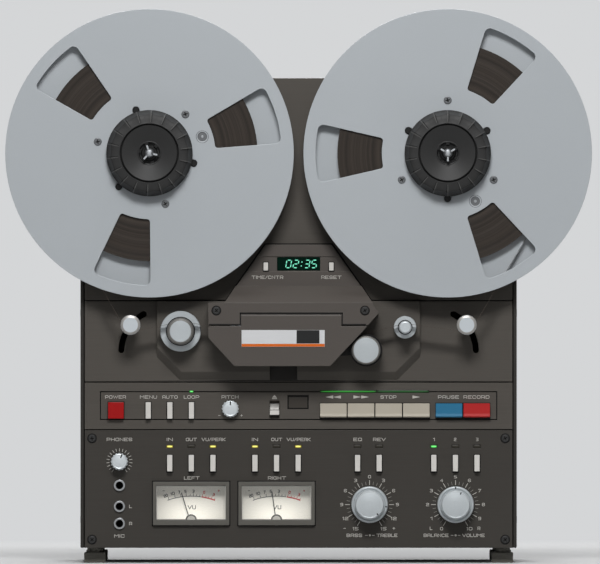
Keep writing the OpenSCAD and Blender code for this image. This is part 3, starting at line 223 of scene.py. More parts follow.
Fill = Callable[[NodeSheet, object], Sequence[NodeSocket]]


def shared(kind: Tree, name: str, outputs: Sequence[str],
           **inputs: float | str) -> Callable[[Fill], Callable[[], NodeTree]]:
    """Makes a function that fills a node tree into one that gives the tree, built once.

    Args:
        kind: The tree's kind.
        name: The tree's name.
        outputs: Names of its outputs.
        inputs: What it takes beside its first input: a number to start from, or the kind of a socket.

    Returns:
        The decorator.
    """
    taken, given = kind.value

    def wrap(fill: Fill) -> Callable[[], NodeTree]:
        """Wraps one such function.

        Args:
            fill: Adds the nodes and gives the sockets of the outputs.

        Returns:
            The function that gives the tree.
        """

        def get() -> NodeTree:
            """Finds the tree, or builds it.

            Returns:
                The tree.
            """
            tree = bpy.data.node_groups.get(name)
            if tree:
                return tree
            tree = bpy.data.node_groups.new(name, kind.name.title() + "NodeTree")
            for key, value in {taken: taken, **inputs}.items():
                word = value if isinstance(value, str) else "Float"
                socket = tree.interface.new_socket(key, in_out="INPUT", socket_type="NodeSocket" + word)
                if word != value:
                    socket.default_value = value
            for key in outputs:
                tree.interface.new_socket(key, in_out="OUTPUT", socket_type="NodeSocket" + given)
            sheet = NodeSheet(tree)
            results = fill(sheet, sheet.add("NodeGroupInput").outputs)
            sheet.add("NodeGroupOutput", dict(zip(outputs, results)))
            return tree

        return get

    return wrap


class Effects:
    """Shader node groups that several finishes share."""

    @shared(Tree.SHADER, "fine_grain", ("Tint", "Height"), Scale=1500.0, Amount=0.3)
    def grain(sheet: NodeSheet, source: object) -> Sequence[NodeSocket]:
        """Fine speckle of paint and moulded plastic.

        Args:
            sheet: The group's nodes.
            source: Sockets of its inputs.

        Returns:
            A tint near 1 and a height.
        """
        fine = sheet.noise(source["Vector"], source["Scale"], 3.0, Roughness=0.6)
        broad = sheet.noise(source["Vector"], 14.0, 2.0)
        both = sheet.math("ADD", sheet.math("MULTIPLY", fine, 0.65), sheet.math("MULTIPLY", broad, 0.35))
        centred = sheet.math("SUBTRACT", both, 0.5)
        return sheet.math("MULTIPLY_ADD", centred, source["Amount"], 1.0), fine

    @shared(Tree.SHADER, "edge_wear", ("Mask",), Width=0.0007, Amount=0.5)
    def wear(sheet: NodeSheet, source: object) -> Sequence[NodeSocket]:
        """Edges made lighter, in part as paint rubbed thin and in part as a painted highlight, where a
        rounded normal leans from the true one.

        Args:
            sheet: The group's nodes.
            source: Sockets of its inputs.

        Returns:
            A mask.
        """
        rounded = sheet.add("ShaderNodeBevel", {"Radius": source["Width"]}, samples=4).outputs[0]
        normal = sheet.add("ShaderNodeNewGeometry").outputs["Normal"]
        edge = sheet.ramp(sheet.number("DOT_PRODUCT", rounded, normal), 0.995, 0.8)
        broken = sheet.ramp(sheet.noise(source["Vector"], 130.0, 4.0), 0.35, 0.7, 0.25, 1.0)
        return (sheet.math("MULTIPLY", sheet.math("MULTIPLY", edge, broken), source["Amount"]),)

    @shared(Tree.SHADER, "settled_dust", ("Mask",), Amount=0.2)
    def dust(sheet: NodeSheet, source: object) -> Sequence[NodeSocket]:
        """Thin patchy dust on faces that look up.

        Args:
            sheet: The group's nodes.
            source: Sockets of its inputs.

        Returns:
            A mask.
        """
        normal = sheet.add("ShaderNodeNewGeometry").outputs["Normal"]
        up = sheet.add("ShaderNodeSeparateXYZ", {0: normal}).outputs[2]
        patch = sheet.ramp(sheet.noise(source["Vector"], 160.0, 6.0), 0.3, 0.75, 0.55, 1.0)
        lying = sheet.math("MULTIPLY", sheet.ramp(up, 0.5, 0.95), patch)
        return (sheet.math("MULTIPLY", lying, source["Amount"]),)

    @shared(Tree.SHADER, "brush_marks", ("Streak",), Scale=2500.0)
    def brushed(sheet: NodeSheet, source: object) -> Sequence[NodeSocket]:
        """Straight brush marks across the piece, as a streak of 0 to 1."""
        long = sheet.vector("MULTIPLY", source["Vector"], (0.02, 1.0, 1.0))
        return (sheet.noise(long, source["Scale"], 2.0),)

    @shared(Tree.SHADER, "lathe_rings", ("Streak",), Scale=2500.0)
    def turned(sheet: NodeSheet, source: object) -> Sequence[NodeSocket]:
        """Rings left by a lathe round the origin of the vector.

        Args:
            sheet: The group's nodes.
            source: Sockets of its inputs.

        Returns:
            A streak of 0 to 1.
        """
        radius = sheet.number("LENGTH", sheet.vector("MULTIPLY", source["Vector"], (1.0, 0.0, 1.0)))
        inputs = {"W": radius, "Scale": source["Scale"], "Detail": 3.0}
        return (sheet.add("ShaderNodeTexNoise", inputs, noise_dimensions="1D").outputs[0],)


@dataclass(frozen=True)
class Finish:
    """A surface finish and the numbers that its material is made from."""

    name: str
    colour: Colour
    roughness: float = 0.5
    metallic: float = 0.0
    grain: float = 0.3
    grain_scale: float = 1500.0
    bump: float = 0.15
    # Edge lightening, part wear and part painted highlight, and the colour it mixes to.
    wear: float = 0.0
    worn: Colour = (150, 148, 142)
    dust: float = 0.0
    dust_colour: ClassVar[Colour] = (150, 145, 136)
    specular: float = 0.2
    pattern: Pattern = Pattern.PLAIN
    streak: float = 0.3
    streak_scale: float = 2500.0
    centre: Flat = (0.0, 0.0)

    def material(self) -> Material:
        """Gives the finish's material, made at its first use.

        Returns:
            The material.
        """
        made = bpy.data.materials.get(self.name)
        if made:
            return made
        made = bpy.data.materials.new(self.name)
        made.use_nodes = True
        made.node_tree.nodes.clear()
        sheet = MaterialSheet(made.node_tree)
        sheet.feed("Roughness", self.roughness)
        sheet.feed("Metallic", self.metallic)
        sheet.feed("Specular IOR Level", self.specular)
        self.dress(sheet)
        sheet.add("ShaderNodeOutputMaterial", {"Surface": sheet.shader.outputs[0]})
        made.diffuse_color = (*linear(self.colour), 1.0)
        return made

    def centred(self, sheet: MaterialSheet) -> NodeSocket:
        """Moves the object coordinates to the finish's own centre."""
        spot = (-self.centre[0] * MM, 0.0, -self.centre[1] * MM)
        return sheet.add("ShaderNodeMapping", {"Vector": sheet.coords, "Location": spot}).outputs[0]

    def dress(self, sheet: MaterialSheet) -> None:
        """Feeds colour, roughness and bump to the shader.

        Args:
            sheet: The material's nodes.
        """
        grain = sheet.group(Effects.grain(), sheet.coords, Scale=self.grain_scale, Amount=self.grain)
        tint, height = grain["Tint"], grain["Height"]
        if self.pattern is not Pattern.PLAIN:
            tree = Effects.brushed() if self.pattern is Pattern.BRUSHED else Effects.turned()
            height = sheet.group(tree, self.centred(sheet), Scale=self.streak_scale)["Streak"]
            offset = sheet.math("SUBTRACT", height, 0.5)
            tint = sheet.math("MULTIPLY", tint, sheet.math("MULTIPLY_ADD", offset, self.streak, 1.0))
        colour = sheet.scaled(self.colour, tint)
        # The edge mask lightens edges as wear and, in part, as a painted highlight.
        for tree, amount, layer in ((Effects.wear, self.wear, self.worn),
                                    (Effects.dust, self.dust, self.dust_colour)):
            if amount:
                mask = sheet.group(tree(), sheet.coords, Amount=amount)["Mask"]
                colour = sheet.mix(mask, colour, (*linear(layer), 1.0))
        sheet.feed("Base Color", colour)
        change = sheet.math("SUBTRACT", tint, 1.0)
        sheet.feed("Roughness", sheet.math("MULTIPLY_ADD", change, 0.5, self.roughness, clamp=True))
        if self.bump:
            sheet.relief(height, self.bump)


@dataclass(frozen=True)
class Glow(Finish):
    """A lens or segment lit from behind, brightest where its glow attribute is high."""

    light: Colour = (0, 0, 0)
    strength: float = 1.0

    def dress(self, sheet: MaterialSheet) -> None:
        """Adds light of the lamp's colour to the plain finish.

        Args:
            sheet: The material's nodes.
        """
        super().dress(sheet)
        level = sheet.add("ShaderNodeAttribute", attribute_name="glow").outputs["Fac"]
        sheet.feed("Emission Color", sheet.scaled(self.light, level))
        sheet.feed("Emission Strength", self.strength)


@dataclass(frozen=True)
class DialFace(Finish):
    """A printed meter scale with a painted glow that stands in for a warm lamp under its lower edge."""

    lit: Colour = (255, 251, 238)
    reach: float = 30.0
    strength: float = 0.75

    def dress(self, sheet: MaterialSheet) -> None:
        """Paints a glow on the paper that falls from a warm spot at the bottom to little at the top.

        Args:
            sheet: The material's nodes.
        """
        super().dress(sheet)
        oval = sheet.vector("MULTIPLY", self.centred(sheet), (0.62, 0.0, 1.0))
        level = sheet.ramp(sheet.number("LENGTH", oval), 0.0, self.reach * MM, 1.0, 0.07)
        sheet.feed("Emission Color", sheet.scaled(self.lit, level))
        sheet.feed("Emission Strength", self.strength)


@dataclass(frozen=True)
class Pane(Finish):
    """A thin clear pane."""

    alpha: float = 0.1

    def dress(self, sheet: MaterialSheet) -> None:
        """Lets light through, with faint smears that change the gloss.

        Args:
            sheet: The material's nodes.
        """
        sheet.feed("Base Color", (*linear(self.colour), 1.0))
        sheet.feed("Roughness", sheet.ramp(sheet.noise(sheet.coords, 60.0, 4.0), 0.3, 0.8, 0.03, 0.16))
        sheet.feed("Alpha", self.alpha)


@dataclass(frozen=True)
class Film(Finish):
    """Wound tape: dark oxide with fine rings where the layers lie unevenly."""

    def dress(self, sheet: MaterialSheet) -> None:
        """Lays two scales of rings over the brown.

        Args:
            sheet: The material's nodes.
        """
        fine, broad = (sheet.group(Effects.turned(), self.centred(sheet), Scale=scale)["Streak"]
                       for scale in (2600.0, 240.0))
        both = sheet.math("ADD", sheet.math("MULTIPLY", fine, 0.45), sheet.math("MULTIPLY", broad, 0.55))
        dark = tuple(v * 0.55 for v in linear(self.colour))
        pale = tuple(min(1.0, v * 1.7) for v in linear(self.colour))
        sheet.feed("Base Color", sheet.mix(sheet.ramp(both, 0.3, 0.72), (*dark, 1.0), (*pale, 1.0)))
        sheet.feed("Roughness", sheet.ramp(both, 0.2, 0.8, 0.28, 0.55))
        sheet.relief(fine, 0.35)


class Paints:
    """The finishes of the recorder."""

    CABINET = Finish("cabinet_paint", (48, 46, 43), 0.55, grain=0.5, wear=0.25, dust=0.1, worn=(110, 106, 98))
    COVER = Finish("rear_cover_paint", (56, 54, 51), 0.6, grain=0.5, wear=0.2)
    FRAME = Finish("chassis_black", (22, 21, 20), 0.7, grain=0.5)
    DECK = Finish("deck_panel_paint", (78, 74, 69), 0.5, grain=0.35, wear=0.3, worn=(128, 124, 116),
                  pattern=Pattern.BRUSHED, streak=0.22, streak_scale=900.0)
    AMPLIFIER = Finish("amplifier_panel_paint", (58, 55, 51), 0.5, grain=0.35, wear=0.3, worn=(115, 111, 104),
                       pattern=Pattern.BRUSHED, streak=0.22, streak_scale=900.0)
    HOUSING = Finish("head_housing_paint", (82, 77, 73), 0.45, wear=0.5, worn=(140, 136, 128))
    # Painted shade for the inside of the finger notch.
    FINGER = Finish("finger_notch_paint", (36, 34, 32), 0.6, grain=0.4)
    BEZEL = Finish("bezel_plastic", (92, 90, 85), 0.4, grain=0.25, wear=0.3)
    SCREW = Finish("black_screw", (52, 50, 48), 0.38, metallic=0.6, grain=0.4, wear=0.5, worn=(120, 118, 114))
    STEEL = Finish("bare_steel", (168, 171, 174), 0.32, metallic=0.9, grain=0.2, specular=0.5)
    REEL_SCREW = Finish("reel_screw_steel", (104, 106, 108), 0.42, metallic=0.5, grain=0.4)
    FOOT = Finish("foot_plastic", (104, 102, 95), 0.6, grain=0.5, dust=0.15)
    MOTOR = Finish("motor_shell", (120, 121, 122), 0.45, metallic=0.7)
    RUBBER = Finish("roller_rubber", (24, 23, 23), 0.75, grain=0.6, dust=0.06)
    BOARD = Finish("circuit_board", (38, 84, 52), 0.5, grain=0.6, grain_scale=400.0)
    CHROME = Finish("bright_chrome", (192, 198, 202), 0.3, metallic=0.5, grain=0.08, bump=0.03, specular=0.5)
    # A darker copy of the chrome, painted on the post caps' bevels as shade.
    ARM_EDGE = Finish("arm_edge_metal", (160, 158, 154), 0.34, metallic=0.3, grain=0.1, bump=0.05,
                      specular=0.45)
    # A darker copy of the caps' metal, painted on bevels and slopes as shade.
    CAP_EDGE = Finish("cap_edge_metal", (120, 119, 116), 0.34, metallic=0.3, grain=0.1, bump=0.05,
                      specular=0.4)
    NUT = Finish("socket_nut", (150, 152, 154), 0.35, metallic=0.5, grain=0.15, specular=0.4)
    # Steel painted near-black to stand in for the shade that the pinch arm sits in.
    DARK_STEEL = Finish("black_oxide_steel", (38, 37, 36), 0.45, metallic=0.4)
    BRASS = Finish("dull_brass", (150, 122, 66), 0.4, metallic=0.9, grain=0.25)
    REEL = Finish("reel_aluminium", (172, 177, 181), 0.42, metallic=0.15, grain=0.1, bump=0.05, wear=0.35,
                  worn=(214, 217, 219))
    HUB = Finish("reel_hub_aluminium", (160, 163, 166), 0.45, metallic=0.4, grain=0.15)
    ADAPTER = Finish("adapter_plastic", (48, 48, 48), 0.5, wear=0.15, worn=(110, 110, 109))
    ADAPTER_DISC = Finish("adapter_disc", (45, 45, 45), 0.45)
    # Lighter crest colour, part wear and part painted highlight.
    ADAPTER_RIB = Finish("adapter_rib", (80, 80, 79), 0.45)
    # Near-black for the adapter's lugs, and painted shade in its groove, key slots, rib sides, the spindle's
    # recess and round roller caps.
    ADAPTER_BLACK = Finish("adapter_black", (18, 18, 18), 0.5, grain=0.4)
    SLIM = Finish("pale_button_plastic", (214, 211, 206), 0.4, grain=0.12)
    KEY = Finish("beige_key_plastic", (182, 175, 161), 0.42, grain=0.14)
    BLUE_KEY = Finish("blue_key_plastic", (46, 112, 147), 0.4, grain=0.14)
    RED_KEY = Finish("red_key_plastic", (176, 40, 40), 0.4, grain=0.14)
    POWER_KEY = Finish("power_key_plastic", (156, 14, 15), 0.4, grain=0.14, wear=0.3, worn=(190, 90, 84))
    NEEDLE = Finish("needle_black", (20, 20, 20), 0.5)
    INK = Finish("panel_ink", (188, 185, 179), 0.6, grain=0.2, bump=0.0)
    FAINT_INK = Finish("panel_ink_faint", (138, 135, 130), 0.6, grain=0.2, bump=0.0)
    DARK_INK = Finish("scale_ink_black", (24, 24, 24), 0.6, grain=0.2, bump=0.0)
    RED_INK = Finish("scale_ink_red", (190, 40, 36), 0.6, grain=0.2, bump=0.0)
    PLATE_WHITE = Finish("label_white", (214, 215, 217), 0.35, grain=0.1, pattern=Pattern.BRUSHED,
                         streak=0.12)
    PLATE_BLACK = Finish("label_black", (34, 35, 35), 0.3)
    PLATE_ORANGE = Finish("label_orange", (214, 104, 34), 0.4, grain=0.15)
    NOTCH = Finish("pointer_dark", (34, 33, 32), 0.5)
    DISPLAY = Finish("display_window", (5, 28, 20), 0.5, bump=0.0, specular=0.02)
    HEAD = Finish("head_metal", (150, 152, 154), 0.25, metallic=0.9, grain=0.15)
    OXIDE = Film("tape_oxide", (66, 57, 50))
    DOME = Finish("meter_dome", (198, 194, 184), 0.45, grain=0.15)
    TRIM = Finish("meter_trim", (176, 173, 166), 0.45, grain=0.15)
    GLASS = Pane("meter_glass", (235, 238, 238), alpha=0.05)
    LAMPS = {
        Lamp.DARK: Glow("lamp_unlit", (48, 45, 38), 0.4, grain=0.2, strength=0.0),
        Lamp.YELLOW: Glow("lamp_yellow", (92, 80, 24), 0.4, grain=0.1, light=(255, 246, 128), strength=1.25),
        Lamp.GREEN: Glow("lamp_green", (24, 70, 26), 0.4, grain=0.1, light=(120, 255, 130), strength=1.2),
        Lamp.DIM: Glow("lamp_green_dim", (22, 52, 24), 0.4, grain=0.1, light=(22, 66, 26)),
        Lamp.BAR: Glow("light_bar_green", (24, 62, 26), 0.4, grain=0.1, light=(44, 140, 46)),
    }
    DIGITS = Glow("display_digits", (30, 90, 74), 0.4, grain=0.05, bump=0.0, light=(128, 232, 198))
    # Near-black painted shade for gaps, seams, holes, recesses and under the keys.
    WELL = Finish("button_well", (18, 17, 16), 0.7)
    RECESS = Finish("dark_window", (58, 54, 49), 0.45, bump=0.05)
    BORE = Finish("socket_bore", (12, 12, 13), 0.6)

    @staticmethod
    def aluminium(name: str, x: float, z: float, shade: int = 176) -> Finish:
        """Makes a turned aluminium finish centred on a knob or roller.

        Args:
            name: The finish's name.
            x: Centre across, in millimetres.
            z: Centre up, in millimetres.
            shade: Grey level of 0 to 255.

        Returns:
            The finish.
        """
        return Finish(name, (shade - 6, shade, shade + 3), 0.36, metallic=0.3, grain=0.08, bump=0.5,
                      specular=0.4, pattern=Pattern.TURNED, streak=0.2, streak_scale=1800.0, centre=(x, z))


class Shape:
    """A mesh in the making, in millimetres: x across, d behind the panel face, z up."""

    def __init__(self, node: str | None = None) -> None:
        """Starts empty, or with a merged copy of a CAD node.

        Args:
            node: Name of the node to copy.
        """
        self.bm = bmesh.new()
        if node:
            self.bm.from_mesh(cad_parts[node].data)
            for face in self.bm.faces:
                face.material_index = 0
            bmesh.ops.remove_doubles(self.bm, verts=self.bm.verts, dist=2e-6)

    def spot(self, x: float, d: float, z: float) -> BMVert:
        """Adds one vertex."""
        return self.bm.verts.new(place(x, d, z))

    def skin(self, corners: Sequence[BMVert], coat: int = 0) -> None:
        """Adds one face of the given coat."""
        self.bm.faces.new(corners).material_index = coat

    def join(self, rings: list[list[BMVert]], coat: int = 0, loop: bool = False) -> None:
        """Joins rings of vertices, one after another.

        Args:
            rings: Vertices of each ring, all the same one where it shrinks to a point.
            coat: Index of the finish.
            loop: Whether the last ring joins the first.
        """
        for low, high in zip(rings, rings[1:] + rings[:1] if loop else rings[1:]):
            for i in range(len(low)):
                j = (i + 1) % len(low)
                corners = list(dict.fromkeys((low[i], low[j], high[j], high[i])))
                if len(corners) > 2:
                    self.skin(corners, coat)

    def loft(self, rings: Sequence[Sequence[Point]], coat: int = 0,
             capped: bool = True) -> None:
        """Makes a skin over closed rings of equal count.

        Args:
            rings: Points of each ring.
            coat: Index of the finish.
            capped: Whether both ends are closed; if not, the last ring joins the first.
        """
        made = [[self.spot(*p) for p in ring] for ring in rings]
        self.join(made, coat, not capped)
        if capped:
            self.skin(list(reversed(made[0])), coat)
            self.skin(made[-1], coat)

    def prism(self, outline: Sequence[Flat], front: float, rear: float, coat: int = 0) -> None:
        """Adds a plate of one outline between two depths."""
        self.loft([[(x, d, z) for x, z in outline] for d in (front, rear)], coat)

    def slab(self, x: float, z: float, width: float, height: float, front: float, rear: float,
             coat: int = 0) -> None:
        """Adds a block centred at a place on the face."""
        self.prism(rectangle(x, z, width, height), front, rear, coat)

    def lathe(self, profile: Sequence[Flat], x: float, z: float, steps: int = 64, coat: int = 0,
              loop: bool = False) -> None:
        """Turns a profile of radius and depth round an axis that looks forward.

        Args:
            profile: Points of radius and depth.
            x: Axis across.
            z: Axis up.
            steps: Faces round the axis.
            coat: Index of the finish.
            loop: Whether the profile closes on itself, as a ring's does.
        """
        rings = []
        for radius, d in profile:
            if radius < 1e-6:
                rings.append([self.spot(x, d, z)] * steps)
                continue
            turn = [polar(radius, -360 * i / steps, x, z) for i in range(steps)]
            rings.append([self.spot(a, d, b) for a, b in turn])
        self.join(rings, coat, loop)

    def drop_small(self, size: float) -> None:
        """Takes out the loose solids that are narrow.

        Args:
            size: Width across that a solid must have to stay.
        """
        waiting = set(self.bm.verts)
        gone: list[BMVert] = []
        while waiting:
            group, edge = set(), [waiting.pop()]
            while edge:
                vert = edge.pop()
                group.add(vert)
                near = {e.other_vert(vert) for e in vert.link_edges} & waiting
                waiting -= near
                edge.extend(near)
            across = [v.co.x for v in group]
            if max(across) - min(across) < size * MM:
                gone.extend(group)
        bmesh.ops.delete(self.bm, geom=gone, context="VERTS")

    def outward(self) -> None:
        """Turns every face outwards."""
        bmesh.ops.recalc_face_normals(self.bm, faces=self.bm.faces)
        if self.bm.calc_volume(signed=True) < 0.0:
            bmesh.ops.reverse_faces(self.bm, faces=self.bm.faces)

    def paint(self, coat: int, wanted: Callable[[Vector, Vector], bool]) -> None:
        """Gives a coat to some faces.

        Args:
            coat: Index of the finish.
            wanted: Tells by a face's middle, in millimetres, and its normal whether it gets the coat.
        """
        for face in self.bm.faces:
            if wanted((face.calc_center_median() - place(0.0, 0.0, 0.0)) / MM, face.normal):
                face.material_index = coat

    def ease(self, width: float, least: float = 35.0, segments: int = 2,
             ahead: float | None = None) -> "Shape":
        """Rounds the sharp outer edges.

        Args:
            width: How far the rounding reaches, in millimetres.
            least: Smallest angle between faces that counts as sharp, in degrees.
            segments: Faces across the rounding.
            ahead: Depth that an edge must lie in front of, if any.

        Returns:
            The same shape.
        """
        self.outward()
        limit = 1.0 if ahead is None else FACE_Y + ahead * MM
        sharp = [e for e in self.bm.edges if len(e.link_faces) == 2 and e.is_convex
                 and e.calc_face_angle(0.0) > math.radians(least) and max(v.co.y for v in e.verts) < limit]
        bmesh.ops.bevel(self.bm, geom=sharp, offset=width * MM, segments=segments, profile=0.5,
                        affect="EDGES", clamp_overlap=False, loop_slide=False)
        return self

    def piece(self, name: str, *coats: Finish, smooth: float = 20.0) -> Object:
        """Makes the object.

        Args:
            name: The piece's name.
            coats: Finishes, in the order of the coats' numbers.
            smooth: Largest angle between faces that is shaded as a curve, in degrees.

        Returns:
            The object, in the scene.
        """
        self.outward()
        mesh = bpy.data.meshes.new(name)
        self.bm.to_mesh(mesh)
        self.bm.free()
        for coat in coats:
            mesh.materials.append(coat.material())
        return show(name, mesh, smooth)


def show(name: str, mesh: Mesh, smooth: float = 20.0) -> Object:
    """Puts a mesh into the scene, shaded by angle, with its straight faces kept flat.

    Args:
        name: The object's name.
        mesh: The finished mesh.
        smooth: Largest angle between faces that is shaded as a curve, in degrees.

    Returns:
        The object.
    """
    stored = mesh.attributes.get("custom_normal")
    if stored:
        mesh.attributes.remove(stored)
    mesh.set_sharp_from_angle(angle=math.radians(smooth))
    for poly in mesh.polygons:
        aligned = abs(poly.normal.y) > 0.9999 or max(abs(poly.normal.x), abs(poly.normal.z)) > 0.9999
        poly.use_smooth = not aligned or (abs(poly.normal.y) < 0.5 and poly.area < 30 * MM * MM)
    obj = bpy.data.objects.new(name, mesh)
    bpy.context.scene.collection.objects.link(obj)
    return obj


def fit(obj: Object, body: str, slot: str, *nodes: str) -> None:
    """Puts a finished piece on its body.

    Args:
        obj: The piece.
        body: The body that it rides on.
        slot: The record's material slot; not used.
        nodes: CAD nodes that the piece stands for.
    """
    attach(obj, body)
    if nodes:
        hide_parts(*nodes)
    log.info("%s rides on %s", obj.name, body)


def dress_node(node: str, finish: Finish) -> None:
    """Gives a CAD node that keeps its own shape a finish.

    Args:
        node: The node.
        finish: The finish.
    """
    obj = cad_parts[node]
    if not obj.material_slots:
        obj.data.materials.append(finish.material())
    for holder in obj.material_slots:
        holder.material = finish.material()
    log.info("%s keeps its shape", node)


def eased(node: str, body: str, slot: str, finish: Finish, width: float, smooth: float = 20.0) -> None:
    """Stands an edge-rounded copy in for a node.

    Args:
        node: The CAD node.
        body: Its body.
        slot: The record's material slot.
        finish: The finish.
        width: Reach of the rounding, in millimetres.
        smooth: Largest angle that is shaded as a curve.
    """
    fit(Shape(node).ease(width).piece(node + "_dress", finish, smooth=smooth), body, slot, node)


class Repeats:
    """Geometry node trees that lay out what repeats."""

    @staticmethod
    def _close(sheet: NodeSheet, points: object, source: object, turn: object) -> Sequence[NodeSocket]:
        """Sets the template on points, makes it real and gives it its finish.

        Args:
            sheet: The tree's nodes.
            points: Socket of the points.
            source: Sockets of the tree's inputs.
            turn: Socket of the angle at each point.

        Returns:
            The finished parts.
        """
        template = sheet.add("GeometryNodeObjectInfo", {"Object": source["Template"]})
        angle = sheet.add("ShaderNodeCombineXYZ", {1: turn}).outputs[0]
        laid = sheet.add("GeometryNodeInstanceOnPoints", {"Points": points, "Rotation": angle,
                                                          "Instance": template.outputs["Geometry"]})
        real = sheet.add("GeometryNodeRealizeInstances", {0: laid.outputs[0]})
        coated = {"Geometry": real.outputs[0], "Material": source["Finish"]}
        return (sheet.add("GeometryNodeSetMaterial", coated).outputs[0],)

    @shared(Tree.GEOMETRY, "ring_of_parts", ("Geometry",), Template="Object", Count="Int", First="Float",
            Step="Float", Centre="Vector", Finish="Material")
    def ring(sheet: NodeSheet, source: object) -> Sequence[NodeSocket]:
        """Repeats a template round a centre, clockwise from a first angle.

        Args:
            sheet: The tree's nodes.
            source: Sockets of its inputs.

        Returns:
            The finished parts.
        """
        points = sheet.add("GeometryNodePoints", {"Count": source["Count"], "Position": source["Centre"]})
        index = sheet.add("GeometryNodeInputIndex").outputs[0]
        turn = sheet.math("MULTIPLY_ADD", index, source["Step"], source["First"])
        return Repeats._close(sheet, points.outputs[0], source, turn)

    @shared(Tree.GEOMETRY, "parts_at_spots", ("Geometry",), Template="Object", Seed="Int", Finish="Material")
    def spots(sheet: NodeSheet, source: object) -> Sequence[NodeSocket]:
        """Sets a template on each point of the host, turned at random from a seed.

        Args:
            sheet: The tree's nodes.
            source: Sockets of its inputs.

        Returns:
            The finished parts.
        """
        loose = sheet.add("FunctionNodeRandomValue", {"Seed": source["Seed"]}, data_type="FLOAT")
        turn = sheet.math("MULTIPLY", loose.outputs[1], 1.5)
        return Repeats._close(sheet, source["Geometry"], source, turn)

    @staticmethod
    def lay(name: str, tree: NodeTree, template: Shape, finish: Finish,
            host: Sequence[Vector] = (), **values: object) -> Object:
        """Runs a tree and keeps its result as a plain mesh.

        Args:
            name: The piece's name.
            tree: The tree.
            template: The shape that repeats, made round the origin.
            finish: Its finish.
            host: Points of the host, in metres.
            values: The tree's other inputs, by name.

        Returns:
            The piece, not yet on a body.
        """
        bmesh.ops.translate(template.bm, verts=template.bm.verts, vec=(0.0, -FACE_Y, 0.0))
        pattern = template.piece(name + "_pattern", finish)
        mesh = bpy.data.meshes.new(name)
        mesh.from_pydata([tuple(p) for p in host], [], [])
        obj = bpy.data.objects.new(name, mesh)
        bpy.context.scene.collection.objects.link(obj)
        maker = obj.modifiers.new("maker", "NODES")
        maker.node_group = tree
        values = {**values, "Template": pattern, "Finish": finish.material()}
        for item in tree.interface.items_tree:
            if item.item_type == "SOCKET" and item.in_out == "INPUT" and item.name in values:
                maker[item.identifier] = values[item.name]
        depsgraph = bpy.context.evaluated_depsgraph_get()
        made = bpy.data.meshes.new_from_object(obj.evaluated_get(depsgraph))
        bpy.data.objects.remove(obj)
        bpy.data.objects.remove(pattern)
        made.name = name
        return show(name, made)


